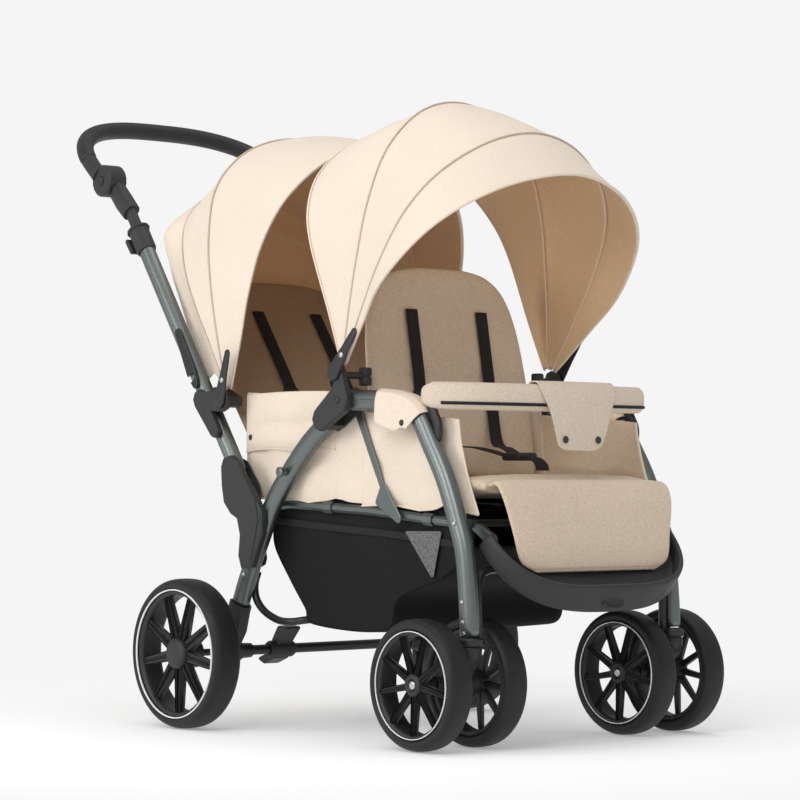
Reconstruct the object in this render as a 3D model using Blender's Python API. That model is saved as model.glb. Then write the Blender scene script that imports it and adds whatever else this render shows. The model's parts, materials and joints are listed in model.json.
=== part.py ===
"""Double buggy: a tandem pushchair with two seats in line on one folding frame.

Run with: blender --background --python part.py

Units are metres, +Z is up, the child looks along -Y and the near side is -X. Shapes are drawn
with the rear axle above y = 0, and the whole buggy is then moved so that the origin lies under
the middle of its outline. Every moving body has an empty on its joint's axis, and each piece's
own origin lies there too.
"""

import math

import bmesh
import bpy
from mathutils import Matrix, Vector
from mathutils.geometry import convex_hull_2d

# Fits
GAP = 0.0003
RUNNING = 0.0007
SLIDE = 0.0008

# Wheels
REAR_TYRE_R = 0.1234
REAR_TYRE_DEPTH = 0.0199
REAR_TYRE_WIDTH = 0.0530
FRONT_TYRE_R = 0.1003
FRONT_TYRE_DEPTH = 0.0191
FRONT_TYRE_WIDTH = 0.0450
REAR_HALF_TRACK = 0.3073
CASTER_HALF_TRACK = 0.2167
TWIN_SPACING = 0.1107
WHEELBASE = 0.5518
TRAIL = 0.0502
CASTER_Y = -WHEELBASE - TRAIL  # where the casters turn
SPOKES = 9
AXLE_R = 0.0060
REAR_HUB_R = 0.0260
FRONT_HUB_R = 0.0180

# Side frame tubes, oval, deeper in the side plane than across
TUBE_X = 0.2170
LEG_HALF = 0.0165
LEG_HALF_X = 0.0125
PUSH_HALF = 0.0150
PUSH_WALL = 0.0022
PLATE = 0.0118
CHEEK = 0.0030
LINK = 0.0030
BRACKET_WALL = 0.0022

# Side view points of the frame, (y, z)
APEX = (-0.314, 0.535)
LINK_TOP = (-0.317, 0.515)
LINK_LOW = (-0.390, 0.370)
COVER_PIN = (-0.068, 0.279)
PIN_BOSS_R = 0.0090
PUSH_PIN = (-0.020, 0.430)
PUSH_TOP = (0.2590, 0.8330)
TILT_PIN = (0.358, 0.940)
FRONT_CANOPY_PIN = (-0.308, 0.579)
REAR_CANOPY_PIN = (-0.003, 0.541)
HOOK_PIN = (0.1265, 0.6600)
HOOK_TIP = (0.0760, 0.5700)
STUD = (-0.168, 0.422)
FOOTREST_PIN = (-0.612, 0.318)
REAR_LEG = [(-0.269, 0.506), (-0.220, 0.473), (-0.171, 0.429), (-0.122, 0.375), (-0.094, 0.326),
            (-0.067, 0.277), (-0.045, 0.236), (-0.031, 0.205)]
FRONT_LEG = [(-0.318, 0.536), (-0.381, 0.533), (-0.440, 0.527), (-0.480, 0.511), (-0.515, 0.461),
             (-0.548, 0.407), (-0.575, 0.343), (-0.591, 0.294), (CASTER_Y + 0.003, 0.217), (CASTER_Y, 0.173)]
SEAT_TUBE = [(-0.092, 0.3665), (-0.128, 0.3700), (-0.167, 0.3680), (-0.344, 0.3600),
             (-0.500, 0.3460), (-0.572, 0.3420)]

# Seat base and basket
SEAT_TUBE_X = 0.1880
SEAT_TUBE_R = 0.0080
SEAT_SLEEVES = [-0.232, -0.478]
SEAT_CROSS_TUBES = [-0.110, -0.560]
LUG_X = (0.1770, 0.1865)
BASKET_TUBE_R = 0.0065
SIDE_PANEL_X = 0.1920
SIDE_PANEL = 0.0060
BASKET_HALF = 0.1860
CLOTH = 0.0030
BASKET_FLOOR_Z = 0.1700

# Push bar, handle and its joints
INNER_HALF = 0.0118
INNER_HALF_X = 0.0088
BORE_DEPTH = 0.1600
COLLAR_HALF = 0.0185
COLLAR_HALF_X = 0.0175
COLLAR_LOW = 0.0310
COLLAR_HIGH = 0.0180
SLEEVE_LOW = 0.0560
KNUCKLE_R = 0.0285
KNUCKLE_STACK = 0.0188
GRIP_START = 0.0680
SOCKET_DEPTH = 0.0200
BUTTON_R = 0.0085
BUTTON_TRAVEL = 0.0030
HANDLE_REACH = 0.1929
HANDLE_SLOPE = math.radians(37.9)
HANDLE_HALF = 0.2292
HANDLE_SQUARENESS = 2.8
HANDLE_R = 0.0105
GRIP_R = 0.0155

# Canopies: angles are about the hinge line, from +Y up towards -Y
PANEL_STEP = 0.0036
PANEL_LAP = math.radians(2.5)
CANOPY_SAG = 0.010
CANOPY_CLOTH = 0.0028
CURTAIN_HALF = 0.1985
CURTAIN_START = 0.66
CURTAIN = [(0.056, 0.070), (0.047, 0.0), (0.028, 0.0)]
ARM = 0.0052
ARM_REACH = 0.0840
FRONT_BOWS = [
    (67.0, [(0.229, 0.018), (0.226, 0.110), (0.225, 0.235), (0.208, 0.305), (0.165, 0.368), (0.090, 0.423), (0.0, 0.440)]),
    (94.5, [(0.229, 0.018), (0.219, 0.110), (0.207, 0.190), (0.188, 0.280), (0.152, 0.365), (0.085, 0.430), (0.0, 0.452)]),
    (121.0, [(0.229, 0.018), (0.232, 0.110), (0.231, 0.200), (0.214, 0.290), (0.168, 0.362), (0.089, 0.416), (0.0, 0.436)]),
    (134.5, [(0.229, 0.018), (0.246, 0.110), (0.258, 0.190), (0.232, 0.290), (0.178, 0.359), (0.100, 0.408), (0.0, 0.430)])]
REAR_BOWS = [
    (59.5, [(0.222, 0.022), (0.222, 0.110), (0.225, 0.200), (0.214, 0.290), (0.175, 0.375), (0.100, 0.435), (0.0, 0.465)]),
    (80.0, [(0.225, 0.022), (0.230, 0.110), (0.231, 0.200), (0.222, 0.290), (0.190, 0.380), (0.110, 0.447), (0.0, 0.474)]),
    (109.0, [(0.222, 0.022), (0.224, 0.110), (0.228, 0.190), (0.220, 0.280), (0.185, 0.360), (0.108, 0.428), (0.0, 0.454)])]

# Bumper bar, footrest
BUMPER_END = (-0.495, 0.5395)
BUMPER_FRONT = (-0.603, 0.5355)
BUMPER_HALF = 0.2120
BUMPER_POST = (0.2090, -0.5390)
BUMPER_HALF_Z = 0.0190
BUMPER_HALF_Y = 0.0150
FOOTREST_HALF = 0.1930
FOOTREST_FRONT = (-0.6850, 0.2280)
FOOTREST_WALL = 0.0110

# What stands furthest forward and back sets where the origin lies
FRONT_REACH = FOOTREST_FRONT[0] - FOOTREST_WALL
REAR_REACH = TILT_PIN[0] + HANDLE_REACH * math.cos(HANDLE_SLOPE) + GRIP_R
SHIFT_Y = -(FRONT_REACH + REAR_REACH) / 2

TUBE_IN = TUBE_X - LEG_HALF_X
TUBE_OUT = TUBE_X + LEG_HALF_X
OUTER_IN = TUBE_OUT + RUNNING
OUTER_OUT = OUTER_IN + PLATE
INNER_OUT = TUBE_IN - RUNNING
INNER_IN = INNER_OUT - CHEEK
LINK_X = INNER_IN - RUNNING - LINK / 2

MATERIALS = {
    "frame_metal": ((0.105, 0.125, 0.125), 0.34, 0.85),
    "dark_metal": ((0.030, 0.032, 0.032), 0.40, 0.60),
    "bright_metal": ((0.55, 0.55, 0.55), 0.25, 1.0),
    "dark_plastic": ((0.045, 0.046, 0.047), 0.48, 0.0),
    "black_plastic": ((0.012, 0.012, 0.013), 0.42, 0.0),
    "foam": ((0.014, 0.014, 0.015), 0.85, 0.0),
    "tyre": ((0.016, 0.016, 0.016), 0.62, 0.0),
    "cream_cloth": ((0.80, 0.68, 0.54), 0.92, 0.0),
    "seat_cloth": ((0.56, 0.44, 0.32), 0.95, 0.0),
    "black_cloth": ((0.018, 0.018, 0.019), 0.90, 0.0),
}

SIDES = (("left", -1), ("right", 1))

places = {}
empties = {}


# Scene set-up

def clear_scene():
    for obj in list(bpy.data.objects):
        bpy.data.objects.remove(obj, do_unlink=True)


def make_material(name):
    colour, roughness, metallic = MATERIALS[name]
    made = bpy.data.materials.new(name)
    made.use_nodes = True
    shader = made.node_tree.nodes["Principled BSDF"]
    shader.inputs["Base Color"].default_value = (*colour, 1.0)
    shader.inputs["Roughness"].default_value = roughness
    shader.inputs["Metallic"].default_value = metallic
    return made


def at(x, side):
    return Vector((x, side[0], side[1]))


def add_body(name, place, parent=None):
    """An empty on the body's joint axis, under the body that carries it."""
    empty = bpy.data.objects.new(name + "_axis", None)
    bpy.context.scene.collection.objects.link(empty)
    empty.empty_display_size = 0.03
    places[name] = Vector(place)
    if parent is None:
        empty.location = places[name] + Vector((0.0, SHIFT_Y, 0.0))
    else:
        empty.parent = empties[parent]
        empty.location = places[name] - places[parent]
    empties[name] = empty


def add_piece(name, bm, body, material_name, crease=32.0):
    """Turns drawn geometry into the named piece of a body, with its origin on the body's axis."""
    bmesh.ops.recalc_face_normals(bm, faces=bm.faces)
    bmesh.ops.translate(bm, verts=bm.verts, vec=-places[body])
    mesh = bpy.data.meshes.new(name)
    bm.to_mesh(mesh)
    bm.free()
    mesh.materials.append(materials[material_name].copy())
    mesh.shade_smooth()
    mesh.set_sharp_from_angle(angle=math.radians(crease))
    obj = bpy.data.objects.new(name, mesh)
    bpy.context.scene.collection.objects.link(obj)
    obj.parent = empties[body]
    return obj


# Drawing helpers

def smooth(points, steps):
    """A Catmull-Rom curve through the points, with this many steps in each span."""
    pts = [Vector(p) for p in points]
    pts = [2 * pts[0] - pts[1], *pts, 2 * pts[-1] - pts[-2]]
    out = []
    for a, b, c, d in zip(pts, pts[1:], pts[2:], pts[3:]):
        for k in range(steps):
            t = k / steps
            out.append(0.5 * (2 * b + (c - a) * t + (2 * a - 5 * b + 4 * c - d) * t * t
                              + (3 * b - a - 3 * c + d) * t ** 3))
    out.append(pts[-2])
    return out


def side_path(x, points, steps=3):
    return [Vector((x, p.x, p.y)) for p in smooth(points, steps)]


def resampled(points, spacing):
    """The same path with points about this far apart, both ends kept."""
    lengths = [(b - a).length for a, b in zip(points, points[1:])]
    total = sum(lengths)
    count = max(2, round(total / spacing))
    out = [points[0]]
    for k in range(1, count):
        left = total * k / count
        for i, length in enumerate(lengths):
            if left <= length:
                out.append(points[i].lerp(points[i + 1], left / length))
                break
            left -= length
    out.append(points[-1])
    return out


def thinned(points, most_turn, longest):
    """The same path with fewer points where it runs straighter."""
    out = [points[0]]
    heading = (points[1] - points[0]).normalized()
    for here, ahead in zip(points[1:-1], points[2:]):
        step = (ahead - here).normalized()
        if step.angle(heading) > most_turn or (here - out[-1]).length > longest:
            out.append(here)
            heading = step
    out.append(points[-1])
    return out


def trimmed(points, start=0.0, end=0.0):
    """The path with these lengths cut from its two ends."""
    pts = list(points)
    for cut in (start, end):
        while cut > 0 and (pts[1] - pts[0]).length <= cut:
            cut -= (pts[1] - pts[0]).length
            pts.pop(0)
        if cut > 0:
            pts[0] = pts[0] + (pts[1] - pts[0]).normalized() * cut
        pts.reverse()
    return pts


def section(centre, along, across, half_along, half_across, sides, power=2.0, phase=0.5):
    """One closed ring of points: an ellipse, or a squarer form with a higher power."""
    ring = []
    for k in range(sides):
        angle = -math.pi / 2 + math.tau * (k + phase) / sides
        c = math.cos(angle)
        s = math.sin(angle)
        u = math.copysign(abs(c) ** (2 / power), c)
        v = math.copysign(abs(s) ** (2 / power), s)
        ring.append(centre + along * (u * half_along) + across * (v * half_across))
    return ring


def path_rings(points, hint, half_plane, half_hint, sides=10, power=2.0):
    """Rings along a path. The hint is the direction that stays square to the path's plane."""
    count = len(points)
    plane_sizes = half_plane if isinstance(half_plane, list) else [half_plane] * count
    hint_sizes = half_hint if isinstance(half_hint, list) else [half_hint] * count
    rings = []
    for i, point in enumerate(points):
        tangent = (points[min(i + 1, count - 1)] - points[max(i - 1, 0)]).normalized()
        across = (hint - tangent * hint.dot(tangent)).normalized()
        in_plane = across.cross(tangent)
        rings.append(section(point, in_plane, across, plane_sizes[i], hint_sizes[i], sides, power))
    return rings


def skin(bm, rings, loop=False):
    """A closed solid over rings of equal count: quads between them, and a cap on each end."""
    made = [[bm.verts.new(p) for p in ring] for ring in rings]
    pairs = list(zip(made, made[1:]))
    if loop:
        pairs.append((made[-1], made[0]))
    for low, high in pairs:
        for k in range(len(low)):
            n = (k + 1) % len(low)
            bm.faces.new((low[k], low[n], high[n], high[k]))
    if not loop:
        bm.faces.new(list(reversed(made[0])))
        bm.faces.new(made[-1])
    return made


def turned(bm, centre, axis, profile, sides=16, loop=False):
    """A solid of revolution. The profile is a list of (distance along the axis, radius)."""
    axis = Vector(axis)
    up = Vector((0, 0, 1)) if abs(axis.z) < 0.9 else Vector((0, 1, 0))
    along = axis.cross(up).normalized()
    up = along.cross(axis).normalized()
    rings = [section(centre + axis * a, along, up, r, r, sides) for a, r in profile]
    skin(bm, rings, loop)


def tube(bm, points, hint, half_plane, half_hint, sides=10, power=2.0):
    skin(bm, path_rings(points, Vector(hint), half_plane, half_hint, sides, power))


def hollow(bm, points, hint, outer, inner, sides=10):
    """A tube open at both ends. Outer and inner are (half in plane, half across)."""
    out = path_rings(points, Vector(hint), outer[0], outer[1], sides)
    back = path_rings(points, Vector(hint), inner[0], inner[1], sides)
    skin(bm, out + back[::-1], loop=True)


def around(circles, steps=4):
    """The outline drawn tight round circles (y, z, r), as a convex loop of points."""
    pts = []
    for y, z, r in circles:
        for k in range(steps * 2):
            a = math.tau * k / (steps * 2)
            pts.append(Vector((y + r * math.cos(a), z + r * math.sin(a))))
    return [pts[i] for i in convex_hull_2d(pts)]


def plate(bm, outline, x0, x1, chamfer=0.0):
    """An outline in the side plane, extruded from x0 to x1, with its far edge chamfered."""
    verts = [bm.verts.new((x0, p[0], p[1])) for p in outline]
    face = bm.faces.new(verts)
    moved = bmesh.ops.extrude_face_region(bm, geom=[face])["geom"]
    top = [v for v in moved if isinstance(v, bmesh.types.BMVert)]
    bmesh.ops.translate(bm, verts=top, vec=(x1 - x0, 0, 0))
    if chamfer:
        rim = [e for e in moved if isinstance(e, bmesh.types.BMEdge)]
        bmesh.ops.bevel(bm, geom=rim, offset=chamfer, segments=1, affect="EDGES", clamp_overlap=True)


def block(bm, low, high, chamfer=0.0):
    """A box between two corners, with every edge chamfered."""
    low = Vector(low)
    high = Vector(high)
    made = bmesh.ops.create_cube(bm, size=1.0)["verts"]
    size = high - low
    for v in made:
        v.co = (low + high) / 2 + Vector((v.co.x * size.x, v.co.y * size.y, v.co.z * size.z))
    if chamfer:
        edges = list({e for v in made for e in v.link_edges})
        bmesh.ops.bevel(bm, geom=edges, offset=chamfer, segments=1, affect="EDGES")


def flipped(bm):
    """The same drawing on the other side of the middle plane."""
    bmesh.ops.scale(bm, verts=bm.verts, vec=(-1, 1, 1))
    bmesh.ops.reverse_faces(bm, faces=bm.faces)
    return bm


def add_pair(name, draw, body, material_name, crease=32.0):
    """A piece for each side of the buggy. The drawing is made on the +X side."""
    for side, sign in SIDES:
        bm = draw()
        if sign < 0:
            bm = flipped(bm)
        add_piece(name + "_" + side, bm, body, material_name, crease)


def boolean(base, other, operation):
    """Joins, cuts or intersects two drawn solids and gives back one."""
    objs = []
    for bm in (base, other):
        bmesh.ops.recalc_face_normals(bm, faces=bm.faces)
        mesh = bpy.data.meshes.new("drawn")
        bm.to_mesh(mesh)
        bm.free()
        obj = bpy.data.objects.new("drawn", mesh)
        bpy.context.scene.collection.objects.link(obj)
        objs.append(obj)
    step = objs[0].modifiers.new("boolean", "BOOLEAN")
    step.operation = operation
    step.solver = "EXACT"
    step.object = objs[1]
    depsgraph = bpy.context.evaluated_depsgraph_get()
    out = bmesh.new()
    out.from_mesh(objs[0].evaluated_get(depsgraph).to_mesh())
    for obj in objs:
        bpy.data.objects.remove(obj, do_unlink=True)
    bmesh.ops.remove_doubles(out, verts=out.verts, dist=0.00002)
    return out


def drawn(draw, *args, **kwargs):
    bm = bmesh.new()
    draw(bm, *args, **kwargs)
    return bm


def fused(first, *others):
    for other in others:
        first = boolean(first, other, "UNION")
    return first


def pillow(bm, middle, half_thick, columns, rows, lift=0.5):
    """A padded form. middle(u, v) is its mid surface and half_thick(u, v) its half thickness.

    u and v run from -1 to 1, and the thickness comes down to a thin seam at the edge.
    """
    step = 0.02
    top = {}
    low = {}
    for j in range(rows + 1):
        for i in range(columns + 1):
            u = -1 + 2 * i / columns
            v = -1 + 2 * j / rows
            here = middle(u, v)
            du = middle(min(u + step, 1), v) - middle(max(u - step, -1), v)
            dv = middle(u, min(v + step, 1)) - middle(u, max(v - step, -1))
            normal = du.cross(dv).normalized()
            thick = half_thick(u, v)
            top[i, j] = bm.verts.new(here + normal * thick * 2 * lift)
            low[i, j] = bm.verts.new(here - normal * thick * 2 * (1 - lift))
    for j in range(rows):
        for i in range(columns):
            for layer in (top, low):
                bm.faces.new([layer[i, j], layer[i + 1, j], layer[i + 1, j + 1], layer[i, j + 1]])
    edge = [(i, 0) for i in range(columns)] + [(columns, j) for j in range(rows)]
    edge += [(i, rows) for i in range(columns, 0, -1)] + [(0, j) for j in range(rows, 0, -1)]
    for a, b in zip(edge, edge[1:] + edge[:1]):
        bm.faces.new([top[a], top[b], low[b], low[a]])


def crown(u, v, full, seam, squareness=4.0):
    """Half thickness of a cushion: full in the middle, drawn in to its seam at the sides."""
    rise = (1 - abs(u) ** squareness) * (1 - abs(v) ** squareness)
    return seam + (full - seam) * math.sqrt(max(rise, 0.0))


def between(points, v):
    """The point at v, from -1 to 1, on a smooth curve through the points."""
    curve = smooth(points, 8)
    place = (v + 1) / 2 * (len(curve) - 1)
    i = min(int(place), len(curve) - 2)
    return curve[i].lerp(curve[i + 1], place - i)


def bent_sheet(path, widths):
    """A mid surface that follows a side view path, with half widths given along it."""
    halves = [(w, 0.0) for w in widths]

    def middle(u, v):
        point = between(path, v)
        half = between(halves, v).x
        return Vector((u * half, point.x, point.y))
    return middle


# Wheels

def rim(bm, centre, outward, outer_r, half_width, hub_r, hub_out, hub_in, spoke_root, spoke_tip,
        beyond=()):
    """A dished rim with open windows between its spokes and a blind bore for the axle.

    Beyond holds further rings (radius, half width), for a wheel moulded together with its tyre.
    """
    band_r = outer_r * 0.90
    count = SPOKES * 3
    shaped = [(hub_r, hub_out, -hub_in, spoke_root), (band_r, half_width * 0.25, -half_width * 0.62, spoke_tip)]
    plain = [(outer_r, half_width)] + list(beyond)

    def point(radius, x, angle):
        return bm.verts.new(centre + Vector((x * outward, radius * math.cos(angle), radius * math.sin(angle))))

    def spoked_ring(radius, x, width):
        half = math.asin(width / 2 / radius)
        ring = []
        for spoke in range(SPOKES):
            mid = -math.pi / 2 + math.tau * spoke / SPOKES
            for angle in (mid - half, mid + half, mid + math.pi / SPOKES):
                ring.append(point(radius, x, angle))
        return ring

    def plain_ring(radius, x):
        return [point(radius, x, -math.pi / 2 + math.tau * (k - 0.5) / count) for k in range(count)]

    front = [spoked_ring(r, out, w) for r, out, back, w in shaped] + [plain_ring(r, x) for r, x in plain]
    rear = [spoked_ring(r, back, w) for r, out, back, w in shaped] + [plain_ring(r, -x) for r, x in plain]
    bore_r = (AXLE_R + SLIDE) / math.cos(math.pi / SPOKES)
    turns = [-math.pi / 2 + math.tau * (spoke + 0.5) / SPOKES for spoke in range(SPOKES)]
    mouth = [point(bore_r, -hub_in, angle) for angle in turns]
    floor = [point(bore_r, hub_out - 0.006, angle) for angle in turns]
    bm.faces.new(front[0])
    bm.faces.new(floor)
    for k in range(SPOKES):
        n = (k + 1) % SPOKES
        hub = rear[0]
        bm.faces.new((mouth[k], mouth[n], floor[n], floor[k]))
        bm.faces.new((hub[3 * k + 2], hub[3 * n], hub[3 * n + 1], hub[3 * n + 2], mouth[n], mouth[k]))
    for k in range(count):
        n = (k + 1) % count
        bm.faces.new((front[-1][k], front[-1][n], rear[-1][n], rear[-1][k]))
        for side in (front, rear):
            for low, high in zip(side[1:], side[2:]):
                bm.faces.new((low[k], low[n], high[n], high[k]))
        if k % 3 == 0:
            for side in (front, rear):
                bm.faces.new((side[0][k], side[0][n], side[1][n], side[1][k]))
            for edge in (k, n):
                bm.faces.new((front[0][edge], front[1][edge], rear[1][edge], rear[0][edge]))
        else:
            bm.faces.new((front[0][k], front[0][n], rear[0][n], rear[0][k]))
            bm.faces.new((front[1][k], front[1][n], rear[1][n], rear[1][k]))


TWELFTH = 1 / math.cos(math.pi / 12)
FLAT_DOWN = 1 / math.cos(math.pi / (SPOKES * 3))


def tyre_side(outer_r, depth, width):
    """Half of a tyre's section, from bead to tread. Its lowest facet lies flat on the ground."""
    half = width / 2
    shape = [(half * 0.86, depth), (half, depth * 0.50), (half * 0.46, 0.0)]
    return [(x, (outer_r - drop) * FLAT_DOWN) for x, drop in shape]


def add_rear_wheel(name, centre, outward):
    add_body(name, centre, "rear_frame")
    side = tyre_side(REAR_TYRE_R, REAR_TYRE_DEPTH, REAR_TYRE_WIDTH)
    bm = bmesh.new()
    turned(bm, centre, (1, 0, 0), [(-x, r) for x, r in side] + side[::-1], SPOKES * 3, loop=True)
    add_piece(name + "_tyre", bm, name, "tyre")
    bm = bmesh.new()
    seat_r = (REAR_TYRE_R - REAR_TYRE_DEPTH - GAP) * FLAT_DOWN
    rim(bm, centre, outward, seat_r, REAR_TYRE_WIDTH * 0.40, REAR_HUB_R, 0.021, 0.024, 0.0105, 0.0150)
    add_piece(name + "_rim", bm, name, "black_plastic")


def add_front_wheel(name, centre, outward, body):
    """A small wheel whose tyre is moulded on its rim."""
    add_body(name, centre, body)
    side = tyre_side(FRONT_TYRE_R, FRONT_TYRE_DEPTH, FRONT_TYRE_WIDTH)
    bm = bmesh.new()
    seat_r = (FRONT_TYRE_R - FRONT_TYRE_DEPTH - 0.001) * FLAT_DOWN
    rim(bm, centre, outward, seat_r, FRONT_TYRE_WIDTH * 0.40, FRONT_HUB_R, 0.012, 0.026, 0.0070, 0.0105,
        [(r, x) for x, r in side[1:]])
    add_piece(name, bm, name, "tyre")


def add_wheels():
    for side, sign in SIDES:
        add_rear_wheel("rear_wheel_" + side, Vector((sign * REAR_HALF_TRACK, 0, REAR_TYRE_R)), sign)
        for place, out in (("outer", 1), ("inner", -1)):
            x = sign * (CASTER_HALF_TRACK + out * TWIN_SPACING / 2)
            add_front_wheel("front_wheel_" + side + "_" + place, Vector((x, -WHEELBASE, FRONT_TYRE_R)),
                            sign * out, "caster_" + side)


SOCKET_LOW = 0.1580
SOCKET_HIGH = 0.1715


def add_casters():
    for side, sign in SIDES:
        x = sign * CASTER_HALF_TRACK
        body = "caster_" + side
        add_body(body, (x, CASTER_Y, SOCKET_LOW), "front_arch")
        neck = (CASTER_Y, 0.1415, 0.0150)
        hub = (-WHEELBASE, FRONT_TYRE_R, 0.0170)
        head = drawn(turned, Vector((x, CASTER_Y, SOCKET_LOW - GAP)), (0, 0, -1),
                     [(0, 0.0165), (0.003, 0.0185), (0.016, 0.0175), (0.021, 0.0130)], 10)
        arm = drawn(plate, around([neck, hub, (-WHEELBASE - 0.018, FRONT_TYRE_R + 0.030, 0.012)]),
                    x - 0.0125, x + 0.0125, 0.003)
        reach = TWIN_SPACING / 2
        shoulder = reach - 0.026 - RUNNING
        spindle = drawn(turned, Vector((x, -WHEELBASE, FRONT_TYRE_R)), (1, 0, 0),
                        [(-reach - 0.002, AXLE_R), (-shoulder, AXLE_R), (-shoulder, 0.0115),
                         (shoulder, 0.0115), (shoulder, AXLE_R), (reach + 0.002, AXLE_R)], 9)
        add_piece("caster_fork_" + side, fused(head, arm, spindle), body, "black_plastic")


# Front arch: legs, brace, sockets and the seat base that it carries

def front_leg():
    """A curved leg with the boss of its housing and the post that the bumper bar rests on."""
    leg = drawn(tube, side_path(TUBE_X, FRONT_LEG, 2), (1, 0, 0), LEG_HALF, LEG_HALF_X, 8)
    x, y = BUMPER_POST
    post = drawn(turned, Vector((x, y, 0)), (0, 0, 1), [(0.435, 0.0050), (0.5180, 0.0050)], 8)
    boss = drawn(turned, at(0, APEX), (1, 0, 0), [(TUBE_X, PIN_BOSS_R), (TUBE_OUT, PIN_BOSS_R)], 12)
    return fused(leg, post, boss)


def add_front_arch():
    add_body("front_arch", at(0, APEX), "rear_frame")
    add_pair("front_leg", front_leg, "front_arch", "frame_metal", 50)
    add_front_brace()
    add_seat_frame()


def add_front_brace():
    """A bent cross tube between the sockets that close the lower ends of the front legs."""
    brace_x = TUBE_IN - BASKET_TUBE_R + 0.0006
    y = FRONT_LEG[-2][0] - 0.001
    low = SOCKET_HIGH - 0.004
    top = 0.2720
    half = [(-brace_x, y, low), (-brace_x, y, 0.200), (-brace_x, y + 0.001, 0.240), (-brace_x + 0.006, y + 0.003, 0.262),
            (-brace_x + 0.026, y + 0.004, top), (-brace_x + 0.08, y + 0.004, top)]
    path = smooth(half + [(-x, b, c) for x, b, c in reversed(half)], 2)
    whole = drawn(tube, path, (0, 1, 0), BASKET_TUBE_R, BASKET_TUBE_R, 6)
    for sign in (-1, 1):
        socket = drawn(turned, Vector((sign * TUBE_X, CASTER_Y, 0)), (0, 0, 1),
                       [(SOCKET_LOW, 0.0190), (SOCKET_LOW + 0.003, 0.0220), (SOCKET_HIGH - 0.003, 0.0220),
                        (SOCKET_HIGH - GAP, 0.0190)], 10)
        whole = fused(whole, socket)
    add_piece("front_brace", whole, "front_arch", "dark_metal", 50)


def seat_tube_height(y):
    for (ya, za), (yb, zb) in zip(SEAT_TUBE, SEAT_TUBE[1:]):
        if yb <= y <= ya:
            return za + (zb - za) * (y - ya) / (yb - ya)
    return SEAT_TUBE[-1][1]


def add_seat_frame():
    """Seat tubes with two cross tubes, short sleeves, and the shells that take the link bars."""
    whole = None
    for sign in (-1, 1):
        rail = drawn(tube, side_path(sign * SEAT_TUBE_X, SEAT_TUBE, 1), (1, 0, 0),
                     SEAT_TUBE_R, SEAT_TUBE_R, 8)
        whole = fused(rail, seat_bracket(sign)) if whole is None else fused(whole, rail, seat_bracket(sign))
        for y in SEAT_SLEEVES:
            ends = [Vector((sign * SEAT_TUBE_X, y + s * 0.011, seat_tube_height(y + s * 0.011))) for s in (1, -1)]
            whole = fused(whole, drawn(tube, ends, (1, 0, 0), SEAT_TUBE_R + 0.0026, SEAT_TUBE_R + 0.0026, 8))
        lug = drawn(plate, around([(*SEAT_TUBE[-1], 0.0075), (*FOOTREST_PIN, 0.0095)]), *LUG_X, 0.0010)
        whole = fused(whole, flipped(lug) if sign < 0 else lug)
    for y in SEAT_CROSS_TUBES:
        place = Vector((0, y, seat_tube_height(y)))
        whole = fused(whole, drawn(turned, place, (1, 0, 0), [(-SEAT_TUBE_X, SEAT_TUBE_R * 0.8),
                                                              (SEAT_TUBE_X, SEAT_TUBE_R * 0.8)], 8))
    add_piece("seat_frame", whole, "front_arch", "frame_metal", 50)


def seat_bracket(sign):
    """A pointed shell outside the seat tube: the link bar ends behind its wall."""
    wall_in = LINK_X + LINK / 2 + RUNNING
    wall_out = wall_in + BRACKET_WALL
    top = (LINK_LOW[0] + 0.010, LINK_LOW[1] + 0.028)
    shell = drawn(plate, around([(*top, 0.006), (LINK_LOW[0] - 0.027, LINK_LOW[1] - 0.022, 0.007),
                                 (LINK_LOW[0] + 0.022, LINK_LOW[1] + 0.004, 0.006)]), wall_in, wall_out, 0.0008)
    y = LINK_LOW[0] - 0.022
    z = seat_tube_height(y)
    web = drawn(block, (SEAT_TUBE_X, y - 0.010, z - 0.006), (wall_in + 0.0007, y + 0.004, z + 0.0015))
    whole = fused(shell, web)
    return flipped(whole) if sign < 0 else whole


def leg_sleeve(bm):
    """A cloth sleeve over the bend of the front leg: a folded strip, open below."""
    path = [p for p in side_path(TUBE_X, FRONT_LEG, 2) if -0.531 < p.y < -0.402]
    over = LEG_HALF + 0.0009
    wrap_out = TUBE_OUT + RUNNING + CLOTH
    wrap_in = SIDE_PANEL_X + 0.0012
    lining = TUBE_IN - RUNNING * 2
    drop = 0.040
    rings = []
    for i, point in enumerate(path):
        tangent = (path[min(i + 1, len(path) - 1)] - path[max(i - 1, 0)]).normalized()
        normal = Vector((0, tangent.z, -tangent.y))
        share = i / (len(path) - 1)
        low = drop * (0.80 + 0.35 * math.sin(math.pi * share)) - 0.010 * share
        wave = 0.0012 * math.sin(share * math.pi * 3)
        outline = [(wrap_out + wave, -low), (wrap_out + 0.0006, 0.0), (wrap_out - 0.003, over + CLOTH * 0.7),
                   (TUBE_X, over + CLOTH), (lining - 0.001, over + CLOTH * 0.5), (wrap_in, over - 0.004),
                   (wrap_in, -0.024), (lining, -0.024), (lining, over - 0.0040), (TUBE_X, over),
                   (wrap_out - CLOTH - 0.0002, over - 0.0034), (wrap_out - CLOTH, -0.002),
                   (wrap_out - CLOTH + wave, -low)]
        rings.append([Vector((x, point.y, point.z)) + normal * n for x, n in outline])
    skin(bm, rings)


# Rear frame

def add_rear_frame():
    add_pair("rear_leg", rear_leg, "rear_frame", "frame_metal", 50)
    add_pair("rear_foot", rear_foot, "rear_frame", "black_plastic")
    add_rear_axle()
    add_pair("apex_housing", apex_housing, "rear_frame", "dark_plastic")
    add_basket_tube()


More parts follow.
